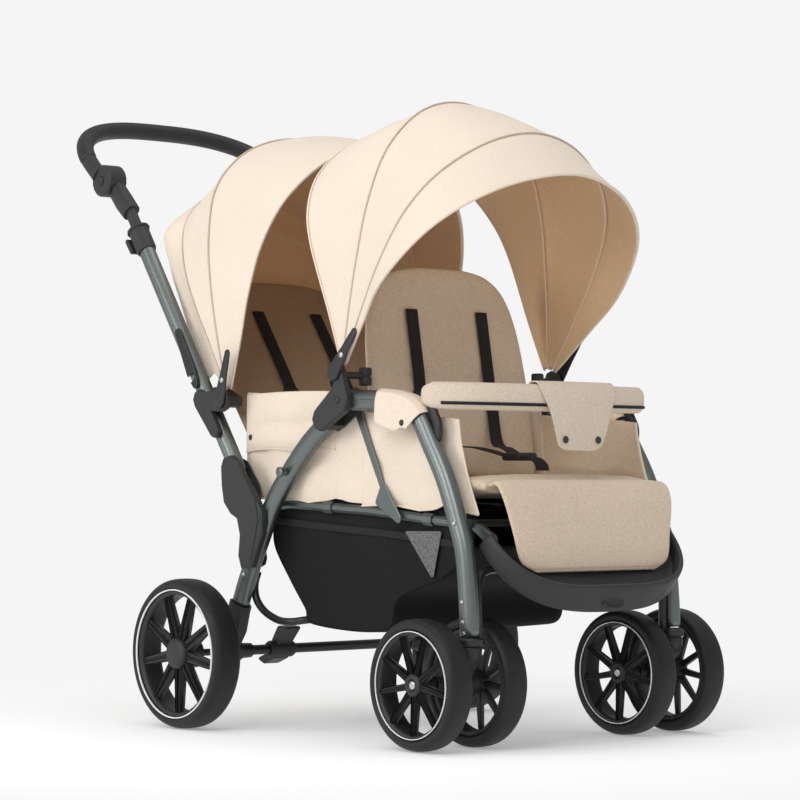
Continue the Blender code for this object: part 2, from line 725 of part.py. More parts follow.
def rear_leg():
    """A curved leg with the fold cover's boss and the stud that the folded push bar's hook reaches for."""
    leg = drawn(tube, trimmed(side_path(TUBE_X, REAR_LEG, 2), start=0.004), (1, 0, 0),
                LEG_HALF, LEG_HALF_X, 8)
    stud = drawn(turned, at(TUBE_OUT - 0.003, STUD), (1, 0, 0),
                 [(0, 0.0060), (0.012, 0.0060), (0.013, 0.0082), (0.0165, 0.0082), (0.018, 0.006)], 8)
    boss = drawn(turned, at(0, COVER_PIN), (1, 0, 0), [(TUBE_X, PIN_BOSS_R), (TUBE_OUT, PIN_BOSS_R)], 12)
    return fused(leg, stud, boss)


def rear_foot():
    start = Vector(REAR_LEG[-1])
    leg_end = side_path(TUBE_X, REAR_LEG, 2)[-2:]
    down = (leg_end[1] - leg_end[0]).yz.normalized()
    low = Vector((-0.003, REAR_TYRE_R + 0.012))
    path = [at(TUBE_X, p) for p in
            (start + down * GAP * 1.5, start + down * 0.013, start + Vector((0.010, -0.043)), low)]
    body = drawn(tube, path, (1, 0, 0), [0.0200, 0.0205, 0.0175, 0.0165],
                 [0.0160, 0.0160, 0.0140, 0.0130], 10, 2.6)
    boss = drawn(turned, Vector((0, 0, REAR_TYRE_R)), (1, 0, 0),
                 [(TUBE_IN - 0.008, 0.0150), (TUBE_IN - 0.006, 0.0170), (TUBE_OUT + 0.008, 0.0185),
                  (TUBE_OUT + 0.012, 0.0150)], 12)
    bore = drawn(turned, Vector((0, 0, REAR_TYRE_R)), (1, 0, 0),
                 [(TUBE_IN - 0.03, REAR_AXLE_R + GAP * 1.5), (TUBE_OUT + 0.03, REAR_AXLE_R + GAP * 1.5)], 12)
    return boolean(fused(body, boss), bore, "DIFFERENCE")


REAR_AXLE_R = 0.0085


def add_rear_axle():
    """One tube through both feet, thicker clamps beside them, and thin ends for the wheels."""
    inner = TUBE_IN - 0.008 - GAP
    shoulder = TUBE_OUT + 0.012 + 0.0020
    half = [(inner - 0.022, REAR_AXLE_R), (inner - 0.022, 0.0125), (inner, 0.0135), (inner, REAR_AXLE_R),
            (shoulder, REAR_AXLE_R), (shoulder, AXLE_R), (REAR_HALF_TRACK + 0.012, AXLE_R)]
    profile = [(-x, r) for x, r in reversed(half)] + half
    bm = bmesh.new()
    turned(bm, Vector((0, 0, REAR_TYRE_R)), (1, 0, 0), profile, 10)
    add_piece("rear_axle", bm, "rear_frame", "dark_metal")


PEDAL_X = -0.110
PEDAL_HALF = 0.016


def add_brake_pedal():
    add_body("brake_pedal", (0, 0, REAR_TYRE_R), "rear_frame")
    ring_in = REAR_AXLE_R + 0.0006
    outline_up = around([(-0.004, REAR_TYRE_R + 0.011, 0.008), (-0.017, REAR_TYRE_R + 0.034, 0.006),
                         (-0.034, REAR_TYRE_R + 0.036, 0.003)])
    outline_low = around([(0.002, REAR_TYRE_R - 0.010, 0.008), (0.024, REAR_TYRE_R - 0.020, 0.006),
                          (0.036, REAR_TYRE_R - 0.018, 0.003)])
    up = drawn(plate, outline_up, PEDAL_X - PEDAL_HALF, PEDAL_X + PEDAL_HALF, 0.002)
    low = drawn(plate, outline_low, PEDAL_X - PEDAL_HALF, PEDAL_X + PEDAL_HALF, 0.002)
    core = drawn(turned, Vector((PEDAL_X, 0, REAR_TYRE_R)), (1, 0, 0),
                 [(-0.026, 0.0120), (-0.022, 0.0145), (0.022, 0.0145), (0.026, 0.0120)], 12)
    bore = drawn(turned, Vector((PEDAL_X, 0, REAR_TYRE_R)), (1, 0, 0),
                 [(-0.04, ring_in), (0.04, ring_in)], 12)
    whole = boolean(fused(core, up, low), bore, "DIFFERENCE")
    add_piece("brake_pedal", whole, "brake_pedal", "black_plastic")


def apex_housing():
    """A forked plastic head on the rear leg: the front leg turns between its cheeks."""
    end = Vector(REAR_LEG[0])
    after = Vector(REAR_LEG[1])
    along = (after - end).normalized()
    outer = around([(*APEX, 0.0245), (end.x, end.y, 0.0195)])
    neck = around([(*FRONT_CANOPY_PIN, 0.0150), (APEX[0] - 0.004, APEX[1] + 0.004, 0.0200)])
    cheek_out = fused(drawn(plate, outer, OUTER_IN, OUTER_OUT, 0.0020),
                      drawn(plate, neck, OUTER_IN, OUTER_OUT, 0.0020))
    inner = around([(*APEX, 0.0215), (end.x, end.y, 0.0190)])
    cheek_in = drawn(plate, inner, INNER_OUT, INNER_IN, 0.0006)
    # the sleeve that joins the cheeks stops short of the tube's end and of the turning leg
    web_far = end - along * (GAP - 0.004)
    web_near = web_far - along * 0.013
    normal = Vector((-along.y, along.x))
    web_outline = [web_far + normal * 0.0185, web_far - normal * 0.0185,
                   web_near - normal * 0.0185, web_near + normal * 0.0165]
    web = drawn(plate, web_outline, INNER_OUT - 0.001, OUTER_IN + 0.001)
    diamond = drawn(plate, [(p.x, p.y) for p in diamond_points()], OUTER_OUT - 0.0035, OUTER_OUT + 0.01)
    head = boolean(fused(cheek_out, web, cheek_in), diamond, "DIFFERENCE")

    bm = bmesh.new()
    centre = Vector((INNER_IN - RUNNING - 0.0120, FRONT_CANOPY_PIN[0] - 0.012, FRONT_CANOPY_PIN[1] - 0.004))
    profile = []
    ribs = 2
    for k in range(ribs):
        z = 0.006 + k * 0.0150
        profile += [(z, 0.0088), (z + 0.0022, 0.0105), (z + 0.0115, 0.0105), (z + 0.0140, 0.0088)]
    turned(bm, centre - Vector((0, 0, 0.022)), (0, 0, 1), profile, 10)
    stem = Vector((centre.x + 0.0090, centre.y, centre.z))
    arm = drawn(turned, stem, (1, 0, 0), [(0, 0.0060), (INNER_IN + 0.0360 - stem.x, 0.0060)], 8)
    return fused(head, bm, arm)


def diamond_points():
    centre = Vector((FRONT_CANOPY_PIN[0] + 0.006, FRONT_CANOPY_PIN[1] - 0.016))
    return [centre + Vector((0.0, 0.0075)), centre + Vector((0.0055, 0.0)),
            centre + Vector((0.0, -0.0075)), centre + Vector((-0.0055, 0.0))]


def add_link_bars():
    add_body("link_bars", at(0, LINK_TOP), "rear_frame")
    bar = around([(*LINK_TOP, 0.0085), (*LINK_LOW, 0.0055)])
    add_pair("link_bar", lambda: drawn(plate, bar, LINK_X - LINK / 2, LINK_X + LINK / 2, 0.0006),
             "link_bars", "frame_metal")


def add_basket_tube():
    x = TUBE_IN - BASKET_TUBE_R + 0.0012
    behind = (-0.1666, 0.1821)
    half = [(-x, -0.0540, 0.2560), (-x, -0.0460, 0.2350), (-x, -0.0500, 0.2120), (-x, -0.0720, 0.1920),
            (-x, -0.1080, 0.1790), (-x + 0.002, -0.1400, 0.1770), (-x + 0.016, -0.1600, 0.1800),
            (-x + 0.045, *behind), (-x + 0.10, *behind)]
    path = smooth(half + [(-a, b, c) for a, b, c in reversed(half)], 2)
    rings = []
    previous = Vector((1, 0, 0))
    for i, point in enumerate(path):
        tangent = (path[min(i + 1, len(path) - 1)] - path[max(i - 1, 0)]).normalized()
        across = (previous - tangent * previous.dot(tangent)).normalized()
        previous = across
        rings.append(section(point, across.cross(tangent), across, BASKET_TUBE_R, BASKET_TUBE_R, 6))
    bm = bmesh.new()
    skin(bm, rings)
    add_piece("basket_tube", bm, "rear_frame", "dark_metal", 50)


# Fold covers and push bar

def add_fold_covers():
    add_body("fold_covers", at(0, COVER_PIN), "rear_frame")
    add_pair("fold_cover", fold_cover, "fold_covers", "dark_plastic")


def fold_cover():
    """Two cheeks with a spacer between them. The rear leg and the push tube turn inside."""
    outline = [(-0.006, 0.432), (-0.013, 0.446), (-0.032, 0.450), (-0.051, 0.440), (-0.070, 0.412),
               (-0.095, 0.386), (-0.117, 0.358), (-0.119, 0.322), (-0.103, 0.291), (-0.090, 0.265),
               (-0.062, 0.263), (-0.054, 0.284), (-0.058, 0.318), (-0.050, 0.345), (-0.032, 0.353),
               (-0.014, 0.371), (-0.008, 0.400)]
    cover = drawn(plate, outline, OUTER_IN, OUTER_OUT, 0.0025)
    ridge = drawn(tube, [at(OUTER_OUT - 0.0005, p) for p in
                         smooth([(-0.051, 0.440), (-0.075, 0.408), (-0.101, 0.376), (-0.108, 0.345),
                                 (-0.098, 0.305), (-0.088, 0.277)], 1)],
                  (1, 0, 0), 0.0022, 0.0022, 4)
    cover = fused(cover, ridge)
    boot = around([(-0.018, 0.428, 0.0165), (-0.050, 0.392, 0.0150), (-0.052, 0.380, 0.0120)])
    inner = drawn(plate, boot, INNER_OUT, INNER_IN, 0.0006)
    low = drawn(plate, around([(-0.052, 0.384, 0.0120), (*COVER_PIN, 0.0140)]), INNER_OUT, INNER_IN, 0.0006)
    spacer = drawn(turned, at(0, (-0.047, 0.372)), (1, 0, 0),
                   [(INNER_OUT - 0.001, 0.0100), (OUTER_IN + 0.001, 0.0100)], 12)
    return fused(cover, spacer, inner, low)


def push_axis():
    low = Vector(PUSH_PIN)
    return low, (Vector(PUSH_TOP) - low).normalized(), (Vector(PUSH_TOP) - low).length


def on_push(length, off=0.0):
    """The side view point this far up the push tube from its pin, and off it to the front."""
    low, along, _ = push_axis()
    return low + along * length + Vector((-along.y, along.x)) * off


def add_push_bar():
    add_body("push_bar", at(0, PUSH_PIN), "fold_covers")
    add_pair("push_tube", push_tube, "push_bar", "frame_metal", 50)
    add_pair("canopy_bracket", canopy_bracket, "push_bar", "dark_plastic")
    add_pair("clamp_collar", clamp_collar, "push_bar", "dark_plastic")
    add_clamp_levers()


def push_tube():
    """A tube with a blind bore from its top end, for the handle's inner tube."""
    length = push_axis()[2]
    marks = [-0.014, -0.006, 0.05, 0.15, 0.25, length - BORE_DEPTH, length]
    sizes = [0.0105, PUSH_HALF] + [PUSH_HALF] * 5
    outside = path_rings([at(TUBE_X, on_push(m)) for m in marks], Vector((1, 0, 0)), sizes,
                         [LEG_HALF_X * 0.9] + [LEG_HALF_X * TWELFTH] * 6, 12)
    bore = [at(TUBE_X, on_push(m)) for m in (length, length - BORE_DEPTH)]
    inside = path_rings([bore[1], bore[0]], Vector((1, 0, 0)), PUSH_HALF - PUSH_WALL,
                        LEG_HALF_X - PUSH_WALL, 12)
    bm = bmesh.new()
    skin(bm, outside + inside[::-1])
    return bm


def canopy_bracket():
    """A riveted plate on the push tube that carries the rear canopy's hinge."""
    pin = REAR_CANOPY_PIN
    ear = around([(*pin, 0.0180), (*on_push(0.136, 0.0), 0.0155)])
    stem = around([(*on_push(0.140, 0.0), 0.0170), (*on_push(0.072, 0.004), 0.0120)])
    outer = fused(drawn(plate, ear, OUTER_IN, OUTER_OUT - 0.003, 0.0015),
                  drawn(plate, stem, OUTER_IN, OUTER_OUT - 0.003, 0.0015))
    back = drawn(plate, around([(*pin, 0.0110), (*on_push(0.128, 0.030), 0.0130)]),
                 INNER_IN, OUTER_IN + 0.001, 0.0015)
    block_clear = drawn(plate, around([(*on_push(0.05, 0), PUSH_HALF + GAP),
                                       (*on_push(0.20, 0), PUSH_HALF + GAP)]),
                        INNER_IN - 0.01, OUTER_IN)
    back = boolean(back, block_clear, "DIFFERENCE")
    return fused(outer, back)


def clamp_collar():
    """A clamp round the top of the push tube, closing on the inner tube above it, with a flange."""
    length = push_axis()[2]
    low = length - COLLAR_LOW
    high = length + COLLAR_HIGH
    hint = Vector((1, 0, 0))
    halves = [COLLAR_HALF - 0.001, COLLAR_HALF, COLLAR_HALF, COLLAR_HALF + 0.003, COLLAR_HALF + 0.003]
    halves_x = [h - COLLAR_HALF + COLLAR_HALF_X for h in halves]
    outside = path_rings([at(TUBE_X, on_push(m)) for m in (low, low + 0.003, high - 0.0045, high - 0.004, high)],
                         hint, halves, halves_x, 12)
    wide = (PUSH_HALF + GAP * 1.2, LEG_HALF_X * TWELFTH + GAP * 1.2)
    tight = (INNER_HALF + GAP * 1.5, INNER_HALF_X + GAP * 1.5)
    inside = path_rings([at(TUBE_X, on_push(m)) for m in (low, length + 0.0006, length + 0.0007, high)],
                        hint, [wide[0], wide[0], tight[0], tight[0]], [wide[1], wide[1], tight[1], tight[1]], 12)
    bm = bmesh.new()
    skin(bm, outside + inside[::-1], loop=True)
    return bm


def add_clamp_levers():
    """A thick lever behind each collar. It hinges at its upper end and opens to the rear."""
    length = push_axis()[2]
    for side, sign in SIDES:
        body = "clamp_lever_" + side
        hinge = on_push(length + 0.0080, -COLLAR_HALF - 0.0047)
        tip = on_push(length - 0.0150, -COLLAR_HALF - 0.0042)
        add_body(body, at(sign * TUBE_X, hinge), "push_bar")
        bm = bmesh.new()
        plate(bm, around([(*hinge, 0.0045), (*tip, 0.0040)]), sign * TUBE_X - 0.0150, sign * TUBE_X + 0.0150, 0.0012)
        add_piece(body, bm, body, "dark_plastic")


def add_fold_hook():
    """A tapered arm on the near push tube, with a hooked end for the stud of the folded frame."""
    add_body("fold_hook", at(-OUTER_IN, HOOK_PIN), "push_bar")
    pin = Vector(HOOK_PIN)
    tip = Vector(HOOK_TIP)
    along = (tip - pin).normalized()
    normal = Vector((-along.y, along.x))
    arm = drawn(plate, around([(*pin, 0.0085), (*(pin + along * 0.078), 0.0130), (*tip, 0.0070)]),
                -OUTER_IN, -OUTER_IN - 0.0050, 0.0012)
    mouth = tip - along * 0.016
    notch = drawn(plate, around([(*mouth, 0.0068), (*(mouth + normal * 0.030), 0.0075)]),
                  -OUTER_IN + 0.01, -OUTER_IN - 0.02)
    add_piece("fold_hook", boolean(arm, notch, "DIFFERENCE"), "fold_hook", "dark_metal")


def add_handle_slider():
    """Inner tubes that slide in the push tubes, with the fixed halves of the tilt joint."""
    add_body("handle_slider", at(0, on_push(push_axis()[2])), "push_bar")
    add_pair("lower_knuckle", lower_knuckle, "handle_slider", "dark_plastic")


def lower_knuckle():
    length = push_axis()[2]
    path = [at(TUBE_X, on_push(m)) for m in (length - BORE_DEPTH + 0.010, length, length + SLEEVE_LOW + 0.010)]
    inner = drawn(tube, path, (1, 0, 0), INNER_HALF, INNER_HALF_X, 12)
    pin = Vector(TILT_PIN)
    start = on_push(length + SLEEVE_LOW)
    toward = pin - start
    sleeve_end = start + toward * (1 - KNUCKLE_R * 0.8 / toward.length)
    sleeve = drawn(tube, [at(TUBE_X - 0.001, start), at(TUBE_X - 0.001, start.lerp(sleeve_end, 0.4)),
                          at(TUBE_X - 0.004, sleeve_end)],
                   (1, 0, 0), [0.0165, 0.0180, 0.0170], [0.0145, 0.0150, 0.0140], 12, 2.5)
    inner_face = TUBE_X - KNUCKLE_STACK
    middle = TUBE_X - 0.0004
    clear = drawn(turned, at(middle, TILT_PIN), (1, 0, 0), [(0, KNUCKLE_R + 0.001), (0.03, KNUCKLE_R + 0.001)], 16)
    disc = drawn(turned, at(0, TILT_PIN), (1, 0, 0),
                 [(inner_face, KNUCKLE_R - 0.0025), (inner_face + 0.0025, KNUCKLE_R), (middle, KNUCKLE_R)], 16)
    return fused(boolean(fused(inner, sleeve), clear, "DIFFERENCE"), disc)


def handle_path():
    """The handle's centre line, half a squared oval in the plane that slopes up and back."""
    pin = Vector(TILT_PIN)
    slope = Vector((math.cos(HANDLE_SLOPE), math.sin(HANDLE_SLOPE)))
    steps = 24
    half = []
    for k in range(steps + 1):
        t = math.pi / 2 * k / steps
        x = HANDLE_HALF * math.cos(t) ** (2 / HANDLE_SQUARENESS)
        s = HANDLE_REACH * math.sin(t) ** (2 / HANDLE_SQUARENESS)
        half.append(Vector((x, pin.x + slope.x * s, pin.y + slope.y * s)))
    return resampled(half + [Vector((-p.x, p.y, p.z)) for p in reversed(half[:-1])], 0.006)


def handle_core():
    """The handle tube's own line. Each end goes into a socket of the upper knuckle."""
    start = GRIP_START - SOCKET_DEPTH
    return thinned(trimmed(handle_path(), start, start), 0.22, 0.05)


def add_handle():
    add_body("handle", at(0, TILT_PIN), "handle_slider")
    normal = Vector((0, -math.sin(HANDLE_SLOPE), math.cos(HANDLE_SLOPE)))
    core = handle_core()
    grip = trimmed(core, SOCKET_DEPTH, SOCKET_DEPTH)
    bm = bmesh.new()
    tube(bm, core, normal, HANDLE_R, HANDLE_R, 8)
    add_piece("handle_tube", bm, "handle", "dark_metal", 50)
    bm = bmesh.new()
    hollow(bm, grip, normal, (GRIP_R, GRIP_R), (HANDLE_R + SLIDE, HANDLE_R + SLIDE), 8)
    add_piece("handle_grip", bm, "handle", "foam", 50)
    add_pair("upper_knuckle", upper_knuckle, "handle", "dark_plastic")
    add_tilt_buttons()


BUTTON_DEPTH = 0.0090


def upper_knuckle():
    """The outer half of the tilt joint, with the handle's socket and the button's recess."""
    normal = Vector((0, -math.sin(HANDLE_SLOPE), math.cos(HANDLE_SLOPE)))
    face_out = TUBE_X + KNUCKLE_STACK
    recess_r = BUTTON_R + 0.0005
    disc = drawn(turned, at(0, TILT_PIN), (1, 0, 0),
                 [(TUBE_X, KNUCKLE_R), (face_out - 0.003, KNUCKLE_R), (face_out, KNUCKLE_R - 0.003),
                  (face_out, recess_r), (face_out - BUTTON_DEPTH, recess_r)], 16)
    path = handle_path()
    ends = [trimmed(path, start)[0] for start in (0.018, 0.040, GRIP_START - 0.0045)]
    stub = drawn(tube, ends, normal, [0.0112, 0.0125, 0.0138], [0.0165, 0.0150, 0.0142], 10, 2.4)
    core = handle_core()
    core[0] = core[0] - (core[1] - core[0]).normalized() * SLIDE
    bore = drawn(tube, core[:4], normal, HANDLE_R + SLIDE, HANDLE_R + SLIDE, 8)
    return boolean(fused(disc, stub), bore, "DIFFERENCE")


def add_tilt_buttons():
    depth = BUTTON_DEPTH
    face_out = TUBE_X + KNUCKLE_STACK
    for side, sign in SIDES:
        body = "tilt_button_" + side
        face = sign * (face_out - depth + BUTTON_TRAVEL + 0.0006)
        add_body(body, at(face, TILT_PIN), "handle")
        bm = bmesh.new()
        turned(bm, at(face, TILT_PIN), (sign, 0, 0),
               [(0, BUTTON_R), (depth - BUTTON_TRAVEL + 0.0008, BUTTON_R),
                (depth - BUTTON_TRAVEL + 0.0020, BUTTON_R - 0.0015)], 12)
        add_piece(body, bm, body, "black_plastic")


# Canopies

def panel_rows(pin, bows, layer, steps):
    """Rows of one cloth panel between two bows. Its hems lap over the next panel's and run true.

    A bow is its angle about the hinge line and half its outline, (x, distance from the hinge).
    """
    (start, low), (end, high) = bows
    first = math.radians(start)
    last = math.radians(end)
    lap = PANEL_LAP
    turns = [first] + [first + lap + (last - first - 2 * lap) * k / steps for k in range(steps + 1)] + [last]
    rows = []
    for angle in turns:
        inside = min(max((angle - first - lap) / (last - first - 2 * lap), 0.0), 1.0)
        sag = 1.0 - CANOPY_SAG * math.sin(math.pi * inside)
        row = []
        for (xa, ra), (xb, rb) in zip(low, high):
            x = (xa + (xb - xa) * inside) * (1 - layer * PANEL_STEP / low[0][0])
            r = (ra + (rb - ra) * inside) * (1 - layer * PANEL_STEP / high[-1][1])
            r *= sag if ra > 0.15 else 1.0
            row.append(Vector((x, pin[0] + r * math.cos(angle), pin[1] + r * math.sin(angle))))
        rows.append(row)
    return rows


def curtain_rows(row):
    """Cloth that goes on from the rear bow to the push tubes and turns down behind the seat."""
    along = push_axis()[1]
    back = Vector((0, along.y, -along.x))
    top = row[-1].z - row[0].z
    edge = [row[0].lerp(row[1], CURTAIN_START)] + row[1:]
    corner = len(row) - 3
    wide = [min(p.x, CURTAIN_HALF) for p in edge]
    wide[corner] = CURTAIN_HALF
    out = []
    for depth, drop in CURTAIN:
        fall = Vector((0, along.x, along.y)) * drop / top
        out.append([Vector((x, p.y, p.z)) + back * depth - fall * (p.z - row[0].z) for x, p in zip(wide, edge)])
    return out


def canopy_shell(rows):
    """A panel with its thickness, grown inwards from the outer face."""
    bm = bmesh.new()
    made = [[bm.verts.new(p) for p in [Vector((-q.x, q.y, q.z)) for q in row[:-1]] + row[::-1]] for row in rows]
    for a, b in zip(made, made[1:]):
        for k in range(len(a) - 1):
            bm.faces.new((a[k], a[k + 1], b[k + 1], b[k]))
    bmesh.ops.recalc_face_normals(bm, faces=bm.faces)
    bm.normal_update()
    top = max(bm.faces, key=lambda f: f.calc_center_median().z)
    if top.normal.z < 0:
        bmesh.ops.reverse_faces(bm, faces=bm.faces)
    bmesh.ops.solidify(bm, geom=bm.faces[:], thickness=CANOPY_CLOTH)
    return bm


def canopy_arm(pin, x, angle):
    """The hinged arm beside a canopy, on the +X side: a round head and a tapered blade."""
    angle = math.radians(angle)
    ray = Vector((math.cos(angle), math.sin(angle)))
    head = Vector(pin)
    outline = around([(*head, 0.0150), (*(head + ray * ARM_REACH * 0.5), 0.0085), (*(head + ray * ARM_REACH), 0.0065)])
    return drawn(plate, outline, x, x + ARM)


def with_arms(shell, pin, x, angle, panel_x):
    """A canopy panel fused with an arm on each side, by a short peg through the cloth."""
    angle_r = math.radians(angle)
    reach = ARM_REACH * 0.8
    place = at(0, (pin[0] + reach * math.cos(angle_r), pin[1] + reach * math.sin(angle_r)))
    for sign in (-1, 1):
        peg = drawn(turned, place, (1, 0, 0), [(panel_x - CANOPY_CLOTH * 0.7, 0.0042), (x + 0.001, 0.0042)], 8)
        arm = fused(canopy_arm(pin, x, angle), peg)
        shell = fused(shell, flipped(arm) if sign < 0 else arm)
    return shell


def add_canopies():
    lap = math.degrees(PANEL_LAP) / 2
    pin = FRONT_CANOPY_PIN
    rear, groove, seam, rim = FRONT_BOWS
    add_body("front_canopy_mid", at(0, pin), "rear_frame")
    add_body("front_canopy_visor", at(0, pin), "rear_frame")
    shell = canopy_shell(panel_rows(pin, [rear, (groove[0] + lap, groove[1])], 2, 3))
    add_piece("front_canopy_rear", shell, "rear_frame", "cream_cloth", 60)
    shell = canopy_shell(panel_rows(pin, [(groove[0] - lap, groove[1]), (seam[0] + lap, seam[1])], 1, 3))
    add_piece("front_canopy_mid", shell, "front_canopy_mid", "cream_cloth", 60)
    shell = canopy_shell(panel_rows(pin, [(seam[0] - lap, seam[1]), rim], 0, 2))
    visor = with_arms(shell, pin, OUTER_OUT + RUNNING, rim[0] - 4.0, 0.2370)
    add_piece("front_canopy_visor", visor, "front_canopy_visor", "cream_cloth", 60)

    pin = REAR_CANOPY_PIN
    bow, seam, rim = REAR_BOWS
    add_body("rear_canopy_front", at(0, pin), "push_bar")
    rows = panel_rows(pin, [bow, (seam[0] + lap, seam[1])], 1, 2)
    add_piece("rear_canopy_rear", canopy_shell(curtain_rows(rows[0]) + rows), "push_bar", "cream_cloth", 60)
    shell = canopy_shell(panel_rows(pin, [(seam[0] - lap, seam[1]), rim], 0, 4))
    shell = with_arms(shell, pin, OUTER_OUT - 0.003 + RUNNING, rim[0] - 3.0, 0.2235)
    add_piece("rear_canopy_front", shell, "rear_canopy_front", "cream_cloth", 60)


# Soft parts

def add_seats():
    bench = [(-0.292, 0.402), (-0.360, 0.398), (-0.470, 0.396), (-0.560, 0.402), (-0.596, 0.398)]
    bm = bmesh.new()
    pillow(bm, bent_sheet(bench, [SIDE_PANEL_X - 0.0005] * 4 + [0.180]),
           lambda u, v: crown(u, v, 0.0165, 0.004) * (1 - 0.22 * math.exp(-((v + 0.15) / 0.10) ** 2)
                                                      * (1 - u * u)), 8, 9)
    add_piece("front_seat", fused(bm, *front_side_cloths()), "front_arch", "seat_cloth", 70)

    bench = [(-0.060, 0.404), (-0.150, 0.400), (-0.225, 0.398), (-0.268, 0.396)]
    bm = bmesh.new()
    pillow(bm, bent_sheet(bench, [SIDE_PANEL_X - 0.0005] * 4),
           lambda u, v: crown(u, v, 0.0155, 0.004) * (1 - 0.20 * math.exp(-(v / 0.12) ** 2)
                                                      * (1 - u * u)), 8, 6)
    add_piece("rear_seat", fused(bm, *rear_side_cloths()), "front_arch", "seat_cloth", 70)

    add_body("front_backrest", at(0, FRONT_BACK[0]), "front_arch")
    bm = bmesh.new()
    pillow(bm, bent_sheet(FRONT_BACK, FRONT_BACK_HALVES), back_padding, 8, 12)
    add_piece("front_backrest", bm, "front_backrest", "seat_cloth", 70)

    add_body("rear_backrest", at(0, REAR_BACK[0]), "push_bar")
    bm = bmesh.new()
    pillow(bm, bent_sheet(REAR_BACK, REAR_BACK_HALVES), back_padding, 8, 12)
    add_piece("rear_backrest", bm, "rear_backrest", "seat_cloth", 70)
    add_harness()


FRONT_BACK = [(-0.331, 0.4150), (-0.319, 0.500), (-0.305, 0.580), (-0.291, 0.660), (-0.282, 0.715), (-0.278, 0.745),
              (-0.276, 0.757)]
FRONT_BACK_HALVES = [0.170, 0.173, 0.172, 0.163, 0.142, 0.105, 0.050]
REAR_BACK = [(-0.0563, 0.4058), (0.000, 0.495), (0.060, 0.583), (0.120, 0.670), (0.156, 0.722), (0.172, 0.746),
             (0.178, 0.755)]
REAR_BACK_HALVES = [0.176, 0.184, 0.186, 0.176, 0.152, 0.110, 0.055]


def back_padding(u, v):
    """A backrest's half thickness, with a sewn channel across at a third of its height."""
    channel = 1 - 0.30 * math.exp(-((v + 0.35) / 0.07) ** 2) * (1 - abs(u) ** 4)
    return crown(u, v, 0.0125, 0.0035) * channel


def side_cloth(y0, y1, lows, top, folds):
    """A hanging cloth beside a seat, on the +X side, with folds along its lower edge."""
    def middle(u, v):
        y = y0 + (y1 - y0) * (v + 1) / 2
        share = (u + 1) / 2
        bottom = lows[0] + (lows[1] - lows[0]) * (v + 1) / 2 + 0.0040 * abs(math.sin(folds * math.pi * (v + 1) / 2))
        ceiling = top + 0.0025 * math.sin(math.pi * (v + 1) / 2)
        drape = 0.0010 * math.sin(folds * math.pi * (v + 1)) * (1 - share)
        return Vector((SIDE_PANEL_X + drape, y, bottom + (ceiling - bottom) * share))
    return drawn(pillow, middle, lambda u, v: crown(u, v, SIDE_PANEL / 2, 0.0010, 6), 3, 7)


def rear_side_cloths():
    """The rear seat's side cloths, each with the flap over its upper half."""
    face = SIDE_PANEL_X + SIDE_PANEL / 2
    flap = [(-0.021, 0.550), (-0.019, 0.462), (-0.033, 0.455), (-0.225, 0.455), (-0.252, 0.470), (-0.255, 0.550)]
    out = []
    for sign in (-1, 1):
        cloth = fused(side_cloth(-0.015, -0.262, (0.3794, 0.3726), 0.5560, 3),
                      drawn(plate, flap, face - 0.0016, face + 0.0020, 0.0006))
        out.append(flipped(cloth) if sign < 0 else cloth)
    return out


def front_side_cloths():
    """The front seat's side cloths, each with the sleeve over the bend of the front leg."""
    out = []
    for sign in (-1, 1):
        cloth = fused(side_cloth(-0.345, -0.552, (0.3700, 0.3560), 0.5100, 2), drawn(leg_sleeve))
        out.append(flipped(cloth) if sign < 0 else cloth)
    return out


def ribbon(bm, points, half_width, thick):
    """A flat strap along a path, its width across the buggy."""
    pts = [Vector(p) for p in points]
    rings = []
    for i, point in enumerate(pts):
        tangent = (pts[min(i + 1, len(pts) - 1)] - pts[max(i - 1, 0)]).normalized()
        across = Vector((1, 0, 0))
        across = (across - tangent * across.dot(tangent)).normalized()
        normal = across.cross(tangent)
        rings.append([point + across * (a * half_width) + normal * (b * thick / 2)
                      for a, b in ((-1, -1), (1, -1), (1, 1), (-1, 1))])
    skin(bm, rings)


def in_front_of(back, v, off):
    """The point this far in front of a backrest's middle line."""
    here = between(back, v)
    ahead = between(back, min(v + 0.02, 1))
    behind = between(back, max(v - 0.02, -1))
    along = (ahead - behind).normalized()
    return here + Vector((-along.y, along.x)) * off


def add_harness():
    """Shoulder straps that meet in a buckle, with a crotch strap in front of it."""
    off = 0.0125 + 0.0017
    for name, back, half, buckle, body in (
            ("front_harness", FRONT_BACK, 0.076, (-0.478, 0.446), "front_backrest"),
            ("rear_harness", REAR_BACK, 0.064, (-0.190, 0.446), "rear_backrest")):
        y, z = buckle
        whole = drawn(block, (-0.022, y - 0.020, z - 0.0065), (0.022, y + 0.020, z + 0.0065), 0.003)
        for sign in (-1, 1):
            upper = [Vector((sign * half, *in_front_of(back, v, off))) for v in (0.13, -0.10, -0.32, -0.58)]
            low = in_front_of(back, -0.80, 0.030)
            points = upper + [Vector((sign * (half - 0.010), *low)),
                              Vector((sign * 0.030, (low.x + y) / 2, z + 0.014)),
                              Vector((sign * 0.010, y + 0.010, z))]
            whole = fused(whole, drawn(ribbon, points, 0.0125, 0.0022))
        crotch = [(0, y - 0.012, z), (0, y - 0.036, z - 0.003), (0, y - 0.050, z - 0.012), (0, y - 0.054, z - 0.022)]
        whole = fused(whole, drawn(ribbon, crotch, 0.0140, 0.0024))
        add_piece(name, whole, body, "black_cloth", 60)


